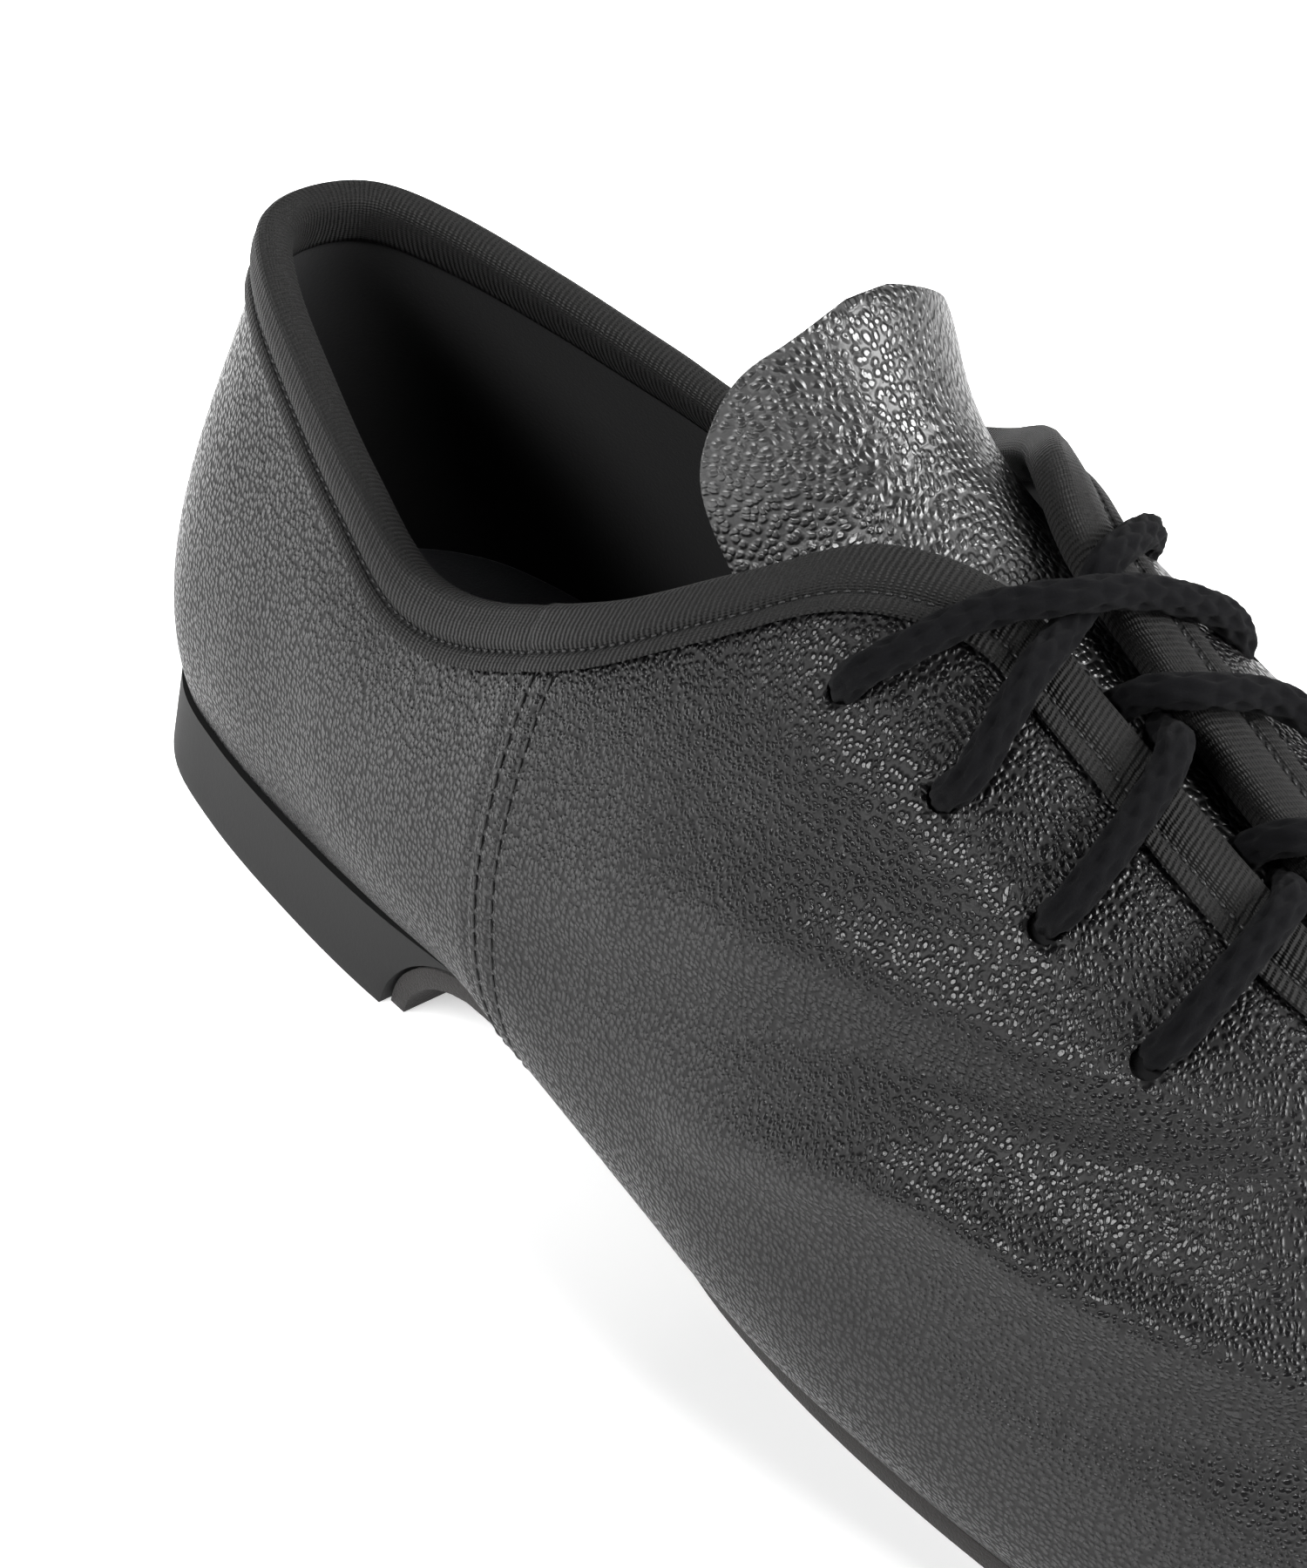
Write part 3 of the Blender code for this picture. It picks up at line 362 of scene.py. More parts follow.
# A piece made from a grid of points: the grid is bent to the points, and its edges are joined where it closes
def bendGrid(name, points, material, uv=None, caps=False):
    rows, columns = points.shape[:2]
    bm = bmesh.new()
    bmesh.ops.create_grid(bm, x_segments=columns - 1, y_segments=rows - 1, size=1)
    bm.verts.ensure_lookup_table()
    for vert, place in zip(bm.verts, toPart(points).reshape(-1, 3)):
        vert.co = place
    layer = bm.loops.layers.uv.new("UVMap")
    flat = (uv if uv is not None else lengthMap(points)).reshape(-1, 2)
    for face in bm.faces:
        for loop in face.loops:
            loop[layer].uv = flat[loop.vert.index]
    bmesh.ops.remove_doubles(bm, verts=bm.verts, dist=1e-6)
    if caps:
        bmesh.ops.holes_fill(bm, edges=[edge for edge in bm.edges if edge.is_boundary], sides=0)
    bmesh.ops.recalc_face_normals(bm, faces=bm.faces)
    mesh = meshFrom(bm, name)
    mesh.shade_smooth()
    mesh.materials.append(material)
    return addObject(name, mesh)


# Lengths along and across a grid of points, in millimetres, for a pattern that follows the surface
def lengthMap(points):
    along = np.linalg.norm(np.diff(points, axis=0), axis=-1)
    across = np.linalg.norm(np.diff(points, axis=1), axis=-1)
    u = np.vstack([np.zeros((1, points.shape[1])), np.cumsum(along, axis=0)])
    v = np.hstack([np.zeros((points.shape[0], 1)), np.cumsum(across, axis=1)])
    return np.stack([u, v], axis=-1)


def closeRows(grid):
    return np.concatenate([grid, grid[:1]])


def flipWhere(obj, inward):
    if inward:
        bm = bmesh.new()
        bm.from_mesh(obj.data)
        bmesh.ops.reverse_faces(bm, faces=bm.faces)
        bm.to_mesh(obj.data)
        bm.free()


# Turns a sheet's faces to one side: the way that a point on it should look
def faceLike(obj, point, want):
    data = obj.data
    tree = BVHTree.FromPolygons([v.co for v in data.vertices], [tuple(p.vertices) for p in data.polygons])
    _, normal, _, _ = tree.find_nearest(Vector(toPart(point)))
    flipWhere(obj, np.array(normal) @ want < 0)


def faceOut(obj, grid, normals):
    row, spot = len(grid) // 4, grid.shape[1] // 3
    faceLike(obj, grid[row, spot], normals[row, spot])


def faceUp(obj):
    flipWhere(obj, sum((p.normal.z for p in obj.data.polygons), 0.0) < 0)


def addWall(obj, thickness, offset=-1):
    wall = obj.modifiers.new("wall", "SOLIDIFY")
    wall.thickness = thickness / 1000
    wall.offset = offset


def bakeModifiers(obj):
    bpy.context.view_layer.update()
    shape = obj.evaluated_get(bpy.context.evaluated_depsgraph_get())
    mesh = bpy.data.meshes.new_from_object(shape)
    obj.modifiers.clear()
    obj.data = mesh


def linear(text):
    parts = [int(text[k:k + 2], 16) / 255 for k in (1, 3, 5)]
    return (*[c / 12.92 if c <= 0.04045 else ((c + 0.055) / 1.055) ** 2.4 for c in parts], 1.0)


# Adds one node; a link is a socket to read from, or a value
def addNode(tree, kind, links=None, **settings):
    node = tree.nodes.new("ShaderNode" + kind)
    for name, value in settings.items():
        setattr(node, name, value)
    for socket, source in (links or {}).items():
        if isinstance(source, bpy.types.NodeSocket):
            tree.links.new(source, node.inputs[socket])
        else:
            node.inputs[socket].default_value = source
    return node


def newMaterial(name):
    material = bpy.data.materials.new(name)
    material.use_nodes = True
    tree = material.node_tree
    return material, tree, tree.nodes["Principled BSDF"]


def noise(tree, place, scale, detail, roughness=0.5, distortion=0.0, read="Fac"):
    return addNode(tree, "TexNoise", {
        "Vector": place, "Scale": scale, "Detail": detail, "Roughness": roughness, "Distortion": distortion,
    }).outputs[read]


def maths(tree, operation, *values, kind="Math"):
    return addNode(tree, kind, dict(enumerate(values)), operation=operation).outputs[0]


def ramp(tree, value, low=0.0, high=1.0, start=0.0, end=1.0, **settings):
    links = {"Value": value, "From Min": low, "From Max": high, "To Min": start, "To Max": end}
    return addNode(tree, "MapRange", links, **settings).outputs[0]


def blend(tree, share, first, second):
    first, second = (linear(colour) if isinstance(colour, str) else colour for colour in (first, second))
    return addNode(tree, "Mix", {0: share, 6: first, 7: second}, data_type="RGBA").outputs[2]


def bump(tree, height, strength, distance, under=None):
    links = {"Height": height, "Strength": strength, "Distance": distance}
    if under is not None:
        links["Normal"] = under
    return addNode(tree, "Bump", links).outputs[0]


def setShader(tree, shader, colour, normal, values):
    tree.links.new(colour, shader.inputs["Base Color"])
    tree.links.new(normal, shader.inputs["Normal"])
    for name, value in values.items():
        shader.inputs[name].default_value = value


# The two coordinates of the plane that the surface faces most, so a flat pattern follows it without much
# stretch. The normals are roughened a little, so the change from plane to plane isn't a line.
def facingPlane(tree, place):
    jitter = noise(tree, place, scale=900.0, detail=0.0, read="Color")
    normal = maths(tree, "ABSOLUTE", addNode(tree, "TexCoord").outputs["Normal"], kind="VectorMath")
    facing = maths(tree, "MULTIPLY_ADD", jitter, (0.5, 0.5, 0.5), normal, kind="VectorMath")
    share = addNode(tree, "SeparateXYZ", {0: facing}).outputs
    at = addNode(tree, "SeparateXYZ", {0: place}).outputs
    end, side, top = (
        addNode(tree, "CombineXYZ", {0: at[i], 1: at[j]}).outputs[0] for i, j in ((1, 2), (0, 2), (0, 1))
    )
    sideways = maths(tree, "GREATER_THAN", share[1], share[0])
    upright = maths(tree, "GREATER_THAN", share[2], maths(tree, "MAXIMUM", share[0], share[1]))
    wall = addNode(tree, "Mix", {0: sideways, 4: end, 5: side}, data_type="VECTOR").outputs[1]
    return addNode(tree, "Mix", {0: upright, 4: wall, 5: top}, data_type="VECTOR").outputs[1]


# Drum-dyed black cowhide with an embossed pebble grain. The plate presses a net of grooves between rounded
# pebbles and polishes their tops, so each pebble catches its own small light. Painted shade makes the grooves
# darker than the pebble tops.
def pebbleLeather(name, grain, depth, colours, roughness, gloss):
    material, tree, shader = newMaterial(name)
    place = addNode(tree, "TexCoord").outputs["Object"]
    drift = noise(tree, place, scale=300.0, detail=2.0, read="Color")
    moved = maths(tree, "MULTIPLY_ADD", drift, (0.0012,) * 3, place, kind="VectorMath")
    cell = addNode(tree, "TexVoronoi", {
        "Vector": facingPlane(tree, moved), "Scale": 1000 / grain, "Randomness": 0.7,
    }, voronoi_dimensions="2D").outputs["Distance"]
    pebble = ramp(tree, cell, low=0.2, high=0.64, start=1.0, end=0.0, interpolation_type="SMOOTHSTEP")
    broad = noise(tree, place, scale=40.0, detail=3.0, roughness=0.55)
    fine = noise(tree, place, scale=4200.0, detail=2.0)
    wrinkle = noise(tree, place, scale=330.0, detail=3.0, distortion=1.2)
    skin = bump(tree, wrinkle, strength=0.35, distance=0.0006)
    skin = bump(tree, pebble, strength=1.0, distance=depth / 1000, under=skin)
    skin = bump(tree, fine, strength=0.2, distance=0.00003, under=skin)
    # Painted shade: the grooves take the first, darker colour, the pebble tops the second
    paintedGrooveShade = blend(tree, pebble, colours[0], colours[1])
    worn = blend(tree, broad, paintedGrooveShade, colours[2])
    shine = ramp(tree, pebble, start=roughness[1], end=roughness[0])
    patch = ramp(tree, broad, low=0.3, high=0.7, start=-0.05, end=0.05)
    tree.links.new(maths(tree, "ADD", shine, patch), shader.inputs["Roughness"])
    setShader(tree, shader, worn, skin, {"IOR": gloss})
    return material


# Topline tape: rows of depth below the edge and stand-off from the leather, down the outside, then over the
# top as out and up from the edge, then down the inside
tape = {
    "outside": ((6.9, 0.8), (6.7, 0.98), (6.1, 1.02), (5.2, 0.95), (4.8, 0.7), (4.5, 0.46), (4.2, 0.72),
                (3.7, 1.15), (2.8, 1.42), (1.8, 1.55), (0.9, 1.5)),
    "over": ((1.5, 0.1), (1.25, 0.7), (0.7, 1.2), (-0.2, 1.45), (-1.2, 1.5), (-2.1, 1.25), (-2.8, 0.7),
             (-3.1, 0.0)),
    "inside": ((0.9, -3.25), (2.0, -3.3), (3.4, -3.15), (4.6, -2.9), (5.6, -2.75)),
    "thick": 0.45, "width": 6.8, "steps": 8, "lineSteps": 60, "squareDepth": 1.5, "stitchDepth": 4.5,
    "stitchLift": 0.62, "stitchPitch": 1.45, "stitchShare": 0.62, "stitchThick": 0.42, "holeRow": 2.45,
}


waveTurn = 0.314  # scale of a wave texture whose bands are one unit apart


# Polyester grosgrain tape: thick ribs run across it, each wrapped by fine threads along the tape, so it is
# matt with a small light on every wrap. Its colour is painted lighter on the crests of the weave as painted
# highlight, and darker between them as painted shade.
def grosgrain(name, rib, wrap):
    material, tree, shader = newMaterial(name)
    place = addNode(tree, "TexCoord").outputs["UV"]
    sway = noise(tree, place, scale=0.8, detail=2.0, read="Color")
    moved = maths(tree, "MULTIPLY_ADD", sway, (0.35, 0.35, 0.0), place, kind="VectorMath")
    ribs, wraps = (
        addNode(tree, "TexWave", {0: moved, "Scale": waveTurn / size}, bands_direction=way).outputs["Fac"]
        for size, way in ((rib, "X"), (wrap, "Y"))
    )
    weave = maths(tree, "MULTIPLY_ADD", wraps, 0.35, ribs)
    fuzz = noise(tree, place, scale=9.0, detail=3.0)
    # Painted highlight on the crests of ribs and wraps, painted shade between them
    weaveWithPaintedLight = blend(tree, ramp(tree, weave, high=1.35), "#020202", "#0e0d0c")
    # Stitch holes, and the groove that they lie in: painted shade darkens both, and the weave's relief is
    # flattened in the holes
    at = addNode(tree, "SeparateXYZ", {0: place}).outputs
    pitch = maths(tree, "PINGPONG", at[0], tape["stitchPitch"] / 2)
    row = maths(tree, "SUBTRACT", at[1], tape["holeRow"])
    away = addNode(tree, "CombineXYZ", {0: pitch, 1: row}).outputs[0]
    reach = addNode(tree, "VectorMath", {0: away}, operation="LENGTH").outputs["Value"]
    hole = ramp(tree, reach, low=0.2, high=0.45)
    stitchGrooveShade = ramp(tree, maths(tree, "ABSOLUTE", row), low=0.1, high=0.6, start=0.35)
    colour = blend(tree, maths(tree, "MULTIPLY", hole, stitchGrooveShade), "#010101", weaveWithPaintedLight)
    relief = bump(tree, maths(tree, "MULTIPLY", weave, hole), strength=1.0, distance=0.00026)
    hairs = bump(tree, fuzz, strength=0.5, distance=0.0001, under=relief)
    setShader(tree, shader, colour, hairs, {
        "Roughness": 0.65, "Specular IOR Level": 0.3, "Sheen Weight": 0.03, "Sheen Roughness": 0.4,
    })
    return material


# Soft goods seen close: two colours of nap in patches, over a bump of short fibres
def napped(name, colours, fibre, depth, sheen, roughness=0.95):
    material, tree, shader = newMaterial(name)
    place = addNode(tree, "TexCoord").outputs["Object"]
    patches = noise(tree, place, scale=120.0, detail=4.0, roughness=0.65)
    fibres = noise(tree, place, scale=1000 / fibre, detail=4.0, roughness=0.7)
    nap = bump(tree, fibres, strength=0.8, distance=depth / 1000)
    setShader(tree, shader, blend(tree, patches, *colours), nap, {
        "Roughness": roughness, "Sheen Weight": sheen, "Sheen Roughness": 0.5,
    })
    return material


# Spun cotton, waxed lightly: nearly black with a blue cast and a fuzzy rim
def braidedCotton(name):
    material, tree, shader = newMaterial(name)
    place = addNode(tree, "TexCoord").outputs["UV"]
    fibres = noise(tree, place, scale=6.0, detail=4.0, roughness=0.7)
    yarn = bump(tree, fibres, strength=0.9, distance=0.00018)
    setShader(tree, shader, blend(tree, fibres, "#010102", "#07070a"), yarn, {
        "Roughness": 0.9, "Specular IOR Level": 0.12, "Sheen Weight": 0.02, "Sheen Roughness": 0.45,
    })
    return material


# Fine pebble on the upper's leather, a coarser and glossier one on the tongue's
upperLeather = pebbleLeather(
    "pebbleGrainCowhide", grain=0.74, depth=0.16, colours=("#020202", "#080809", "#0c0b0c"),
    roughness=(0.24, 0.6), gloss=1.4,
)
tongueLeather = pebbleLeather(
    "coarseGrainCowhide", grain=0.92, depth=0.17, colours=("#020202", "#0a0a0a", "#101010"),
    roughness=(0.3, 0.5), gloss=1.75,
)
tapeWeave = grosgrain("grosgrainTape", rib=0.74, wrap=0.34)
liningCloth = napped("brushedCottonLining", ("#030304", "#08080a"), fibre=0.5, depth=0.12, sheen=0.03)
feltSock = napped("feltSockLining", ("#232328", "#313138"), fibre=0.4, depth=0.15, sheen=0.3)
soleSuede = napped("splitSuedeSole", ("#100d0c", "#1f1b19"), fibre=0.35, depth=0.22, sheen=0.15)
heelRubber = napped(
    "mouldedHeelRubber", ("#080808", "#101010"), fibre=0.6, depth=0.05, sheen=0.0, roughness=0.7
)
thread = napped(
    "waxedPolyesterThread", ("#040404", "#0c0c0d"), fibre=0.3, depth=0.05, sheen=0.05, roughness=0.5
)
lace = braidedCotton("braidedCottonLace")
print("materials made")


# A rounded stitch lying along the leather between two points
def addStitch(bm, start, end, normal, thick):
    run = Vector(unit(end - start))
    up = Vector(normal)
    side = up.cross(run).normalized()
    turn = Matrix((run, side, run.cross(side))).transposed().to_4x4()
    size = Matrix.Diagonal((np.linalg.norm(end - start) / 2, thick / 2, thick / 2, 1))
    middle = Matrix.Translation((start + end) / 2)
    bmesh.ops.create_uvsphere(bm, u_segments=6, v_segments=5, radius=1, matrix=middle @ turn @ size)


# Stitches of one pitch along a line of points, each lying on its own normal
def stitchLine(bm, points, normals, pitch, share, thick):
    steps = np.linalg.norm(np.diff(points, axis=0), axis=1)
    run = np.concatenate([[0], np.cumsum(steps)])
    for k in range(int(run[-1] / pitch)):
        ends = []
        for place in (k * pitch + pitch * (1 - share) / 2, k * pitch + pitch * (1 + share) / 2):
            ends.append(np.array([np.interp(place, run, points[:, axis]) for axis in range(3)]))
        normal = unit(np.array([np.interp(k * pitch, run, normals[:, axis]) for axis in range(3)]))
        addStitch(bm, toPart(ends[0]), toPart(ends[1]), normal, thick / 1000)


def finishStitches(bm, name):
    mesh = meshFrom(bm, name)
    mesh.shade_smooth()
    mesh.materials.append(thread)
    obj = addObject(name, mesh)
    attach(obj, "root")


def eyeletPlaces():
    xs = upper["eyeletFirst"] + upper["eyeletPitch"] * np.arange(upper["eyelets"])
    closer = upper["eyeletCloser"] * np.arange(upper["eyelets"])
    rows = (upper["eyeletOuter"] + closer, upper["eyeletInner"] - closer)
    return [[instep.read(x, y) for x, y in zip(xs, row)] for row in rows]


def makeUpper():
    seam = upper["seamPlace"]
    places = loopPlaces(
        upper["steps"], np.arange(seam - upper["seamBehind"], seam + upper["seamAhead"], upper["seamBlunt"])
    )
    grid, normals = outerSurface(places, upper["profile"])
    leather = bendGrid("upperLeather", closeRows(grid), upperLeather)
    faceOut(leather, grid, normals)
    addWall(leather, upper["leather"])
    # Lace holes, punched through the leather
    bm = bmesh.new()
    for row in eyeletPlaces():
        for point, normal in row:
            turn = Vector(normal).to_track_quat("Z", "Y").to_matrix().to_4x4()
            radius = upper["eyeletRadius"] / 1000
            bmesh.ops.create_cone(
                bm, cap_ends=True, segments=24, radius1=radius, radius2=radius,
                depth=upper["punchLength"] / 1000, matrix=Matrix.Translation(toPart(point)) @ turn,
            )
    punch = addObject("punch", meshFrom(bm, "punch"))
    cut = leather.modifiers.new("punch", "BOOLEAN")
    cut.operation = "DIFFERENCE"
    cut.solver = "EXACT"
    cut.object = punch
    bakeModifiers(leather)
    bpy.data.objects.remove(punch)
    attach(leather, "root")
    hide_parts("upper")
    inward = -upper["leather"] - upper["liningGap"]
    inner, innerNormals = outerSurface(
        loopPlaces(upper["liningSteps"]), upper["liningProfile"], inward, seam=False
    )
    cloth = bendGrid("upperLining", closeRows(inner), liningCloth)
    faceOut(cloth, inner, innerNormals)
    addWall(cloth, upper["lining"])
    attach(cloth, "root")
    # Side seam, two rows on either side of the shoe
    bm = bmesh.new()
    for row in upper["stitchRows"]:
        for place in (seam + row, 2 * toe - seam - row):
            k = int(np.argmin(np.abs(places - place)))
            line, out = grid[k, 2:-8], normals[k, 2:-8]
            stitchLine(
                bm, line + out * upper["stitchLift"], out,
                upper["stitchPitch"], upper["stitchShare"], upper["stitchThick"],
            )
    finishStitches(bm, "seamStitches")


makeUpper()
print("upper made")


# A value read at a depth below the free edge, along one row of the wall
def belowEdge(points, values, depth):
    steps = np.linalg.norm(np.diff(points[::-1], axis=0), axis=1)
    run = np.concatenate([[0], np.cumsum(steps)])
    return np.array([np.interp(depth, run, values[::-1, k]) for k in range(3)])


def makeTape():
    places = loopPlaces(tape["steps"], [upper["seamPlace"] + upper["seamBlunt"]])
    grid, normal = outerSurface(places, tape["lineSteps"], seam=False)
    count = len(places)
    front = int(np.searchsorted(places, throat))
    turnStart = int(np.searchsorted(places, throat - 1))
    turnCentre = (grid[turnStart, -1] + grid[count - turnStart, -1]) / 2
    rings, stitches, stitchNormals = [], [], []
    for k in list(range(count - front + 1, count)) + list(range(front + 1)):
        line, out = grid[k], normal[k]
        if min(k, count - k) >= turnStart:
            ray = unit((line[-1] - turnCentre)[:2])
            reach = np.linspace(2 * tape["width"], 0, tape["lineSteps"])[:, None]
            fan = [instep.read(x, y) for x, y in line[-1][:2] + ray * reach]
            line, out = np.array([p for p, _ in fan]), np.array([n for _, n in fan])
            line[-1] = grid[k, -1]
        edge = line[-1]
        up = unit(edge - belowEdge(line, line, tape["squareDepth"]))
        away = unit(belowEdge(line, out, tape["squareDepth"]))
        away = unit(away - up * (away @ up))
        leaves = [[
            belowEdge(line, line, depth) + unit(belowEdge(line, out, depth)) * stand
            for depth, stand in tape[leaf]
        ] for leaf in ("outside", "inside")]
        over = [edge + away * stand + up * rise for stand, rise in tape["over"]]
        rings.append(leaves[0] + over + leaves[1])
        square = unit(belowEdge(line, out, tape["stitchDepth"]))
        stitches.append(belowEdge(line, line, tape["stitchDepth"]) + square * tape["stitchLift"])
        stitchNormals.append(square)
    rings = np.array(rings)
    fineRows = np.arange(0, len(rings), 0.5)
    fine = np.stack([curveAt(rings[:, j], fineRows, closed=True) for j in range(rings.shape[1])], axis=1)
    closed = closeRows(fine)
    uv = lengthMap(closed)
    middle = uv.shape[1] // 2
    uv[..., 0] = uv[:, middle:middle + 1, 0]
    obj = bendGrid("toplineTape", closed, tapeWeave, uv)
    third = len(stitches) // 3
    faceLike(obj, stitches[third], stitchNormals[third])
    addWall(obj, tape["thick"])
    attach(obj, "root")
    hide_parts("binding")
    bm = bmesh.new()
    stitchLine(
        bm, np.array(stitches + stitches[:1]), np.array(stitchNormals + stitchNormals[:1]),
        tape["stitchPitch"], tape["stitchShare"], tape["stitchThick"],
    )
    finishStitches(bm, "toplineStitches")


makeTape()
print("tape made")

# Tongue, root to tip, as in the part's source
tongue = {
    "columns": ("x", "height", "half", "lean", "curl"),
    "rows": (
        (0.73, 0.72, 0.4, 0, 0.28), (0.68, 0.79, 0.43, 0, 0.32), (0.625, 0.86, 0.46, -0.01, 0.36),
        (0.57, 0.93, 0.48, -0.03, 0.44), (0.52, 0.985, 0.47, -0.05, 0.6), (0.472, 1.045, 0.48, -0.05, 0.9),
        (0.442, 1.11, 0.48, -0.07, 0.88), (0.422, 1.171, 0.43, -0.07, 0.66), (0.41, 1.216, 0.29, -0.07, 0.4),
        (0.403, 1.233, 0.07, -0.07, 0.1),
    ),
    "thick": 1.2, "free": 0.475, "freeOver": 4.0, "laceRoom": 6.6, "slitRoom": 4.0, "roomSpread": 5.0,
    "roomBlunt": 1.0, "wallRoom": 4.7, "steps": 10, "across": 44, "ease": 0.25, "easeTo": 76, "easeOver": 24,
    "easeRounds": 30,
}


def makeTongue():
    rows = curveAt(np.array(tongue["rows"]), np.arange(0, len(tongue["rows"]) - 0.99, 1 / tongue["steps"]))
    middle = np.column_stack([
        rows[:, 0] * last["length"], rows[:, 3] * last["halfBall"],
        rows[:, 1] * last["instepRise"] + last["soleThick"],
    ])
    square = np.cross(unit(np.gradient(middle, axis=0)), [0, 1, 0])
    across = np.sin(np.linspace(-1, 1, tongue["across"]) * math.pi / 2)
    half = rows[:, 2:3] * last["halfBall"]
    sheet = middle[:, None, :] + np.array([0, 1, 0]) * (half * across)[:, :, None]
    sheet = sheet + square[:, None, :] * (half * rows[:, 4:5] * across**2)[:, :, None]
    for row in sheet:
        for k, (x, y, z) in enumerate(row):
            outerEdge, innerEdge = instep.slit(x)
            share = max(outerEdge[1] - y, y - innerEdge[1], 0) / tongue["roomSpread"]
            room = np.interp(share, [0, 1], [tongue["slitRoom"], tongue["laceRoom"]])
            excess = z - instep.read(x, y)[0][2] + room
            ahead = row[:, 0].min() - tongue["free"] * last["length"]
            near = np.clip(ahead / tongue["freeOver"] + 1, 0, 1)
            row[k, 2] -= near * 0.5 * (excess + math.hypot(excess, tongue["roomBlunt"]))
        row[:] = [instep.inside(point, tongue["wallRoom"]) for point in row]
    ease = np.clip((tongue["easeTo"] - np.arange(len(sheet))) / tongue["easeOver"], 0, 1)
    ease = tongue["ease"] * ease[:, None, None]
    for _ in range(tongue["easeRounds"]):
        sheet[1:-1] += ease[1:-1] * (sheet[:-2] + sheet[2:] - 2 * sheet[1:-1])
        sheet[:, 1:-1] += ease * (sheet[:, :-2] + sheet[:, 2:] - 2 * sheet[:, 1:-1])
    obj = bendGrid("tongueLeather", sheet, tongueLeather)
    faceUp(obj)
    addWall(obj, tongue["thick"], 0)
    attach(obj, "root")
    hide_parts("tongue")


makeTongue()
print("tongue made")

# Bottom: sock, suede sole turned down over the heel's breast, and the heel block
bottom = {
    "margin": 0.6, "flare": 1.2, "fitGap": 0.3, "insoleThick": 2.0, "toeTurn": 0.9, "afterBreast": 0.02,
    "breastColumns": ("height", "forward"),
    "breast": ((0, 0), (0.28, 0.07), (0.52, 0.2), (0.74, 0.4), (0.9, 0.66), (0.98, 0.94)),
    "breastRows": 14, "flatRows": 60, "toeRows": 30, "across": 22, "heelSide": 44, "planSteps": 8,
    "bevelAngle": 35, "soleBevel": 0.35, "heelBevel": 0.5,
    "sockEnds": (0.04, 0.975), "sockRows": 80, "sockAcross": 30, "sockDish": 0.5,
}


def footPlan():
    return sectionLoop(loopPlaces(bottom["planSteps"]))


def footSides(x, margin):
    loop = footPlan()
    edge = loop[:, :2] + outward(loop) * margin
    half = len(edge) // 2
    outer = edge[: half + 1]
    inner = np.vstack([edge[:1], edge[:half - 1:-1]])
    return np.interp(x, outer[:, 0], outer[:, 1]), np.interp(x, inner[:, 0], inner[:, 1])


def breastRows(count):
    rows = curveAt(np.array(bottom["breast"]), np.linspace(0, len(bottom["breast"]) - 1.001, count))
    start = last["heelLength"] + last["soleThick"] + bottom["fitGap"]
    rise = last["heelHeight"] - last["soleThick"]
    return np.column_stack([start + rows[:, 1] * last["heelHeight"], rows[:, 0] * rise])


def solePath():
    breast = breastRows(bottom["breastRows"])
    first = breast[-1, 0] / last["length"] + bottom["afterBreast"]
    flat = np.linspace(first, bottom["toeTurn"], bottom["flatRows"])
    turn = np.sin(np.linspace(0, math.pi / 2, bottom["toeRows"])[1:])
    xs = np.concatenate([flat, bottom["toeTurn"] + (1 - bottom["toeTurn"]) * turn]) * last["length"]
    return np.vstack([breast, np.column_stack([xs, soleUnderside(xs)])]), len(breast)


def breastFace(gap):
    path, count = solePath()
    run = unit(np.gradient(path, axis=0))[:count]
    face = path[:count] + np.column_stack([-run[:, 1], run[:, 0]]) * (last["soleThick"] + gap)
    face[0] = [path[0, 0] - last["soleThick"] - gap, path[0, 1]]
    return face


def roundEdges(obj, width):
    edges = obj.modifiers.new("edges", "BEVEL")
    edges.width = width / 1000
    edges.segments = 3
    edges.limit_method = "ANGLE"
    edges.angle_limit = math.radians(bottom["bevelAngle"])


def makeSole():
    path, count = solePath()
    top = path + [0, last["soleThick"]]
    top[:count] = breastFace(0)
    tip = footPlan()[:, 0].max() + bottom["margin"]
    planX = np.minimum(path[:, 0] * tip / path[-1, 0], tip)
    path[count:, 0] = top[count:, 0] = planX[count:]
    outer, inner = footSides(planX, bottom["margin"])
    rings = []
    for (x, z), (topX, topZ), low, high in zip(path, top, outer, inner):
        y = np.linspace(low, high, bottom["across"])
        under = np.column_stack([np.full(len(y), x), y, np.full(len(y), z)])
        over = np.column_stack([np.full(len(y), topX), y, np.full(len(y), topZ)])
        rings.append(np.vstack([under, over[::-1], under[:1]]))
    obj = bendGrid("suedeSole", np.array(rings), soleSuede, caps=True)
    roundEdges(obj, bottom["soleBevel"])
    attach(obj, "root")
    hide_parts("outsole")


def makeHeel():
    face = breastFace(last["seatGap"])
    face = np.vstack([face[:-1], [face[-1, 0] - last["seatGap"], last["heelHeight"]]])
    back = footPlan()[:, 0].min()
    rings = []
    for front, height in face:
        share = height / last["heelHeight"]
        margin = bottom["margin"] + bottom["flare"] * (1 - share)
        xs = front - (front - back + margin) * np.sin(np.linspace(0, math.pi / 2, bottom["heelSide"]))
        outer, inner = footSides(xs, margin)
        outer[-1] = inner[-1] = (outer[-1] + inner[-1]) / 2
        x = np.concatenate([xs, xs[-2::-1], xs[:1]])
        y = np.concatenate([outer, inner[-2::-1], outer[:1]])
        rings.append(np.column_stack([x, y, seatHeight(x) * share]))
    obj = bendGrid("heelBlock", np.array(rings), heelRubber, caps=True)
    roundEdges(obj, bottom["heelBevel"])
    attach(obj, "root")
    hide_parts("heel")


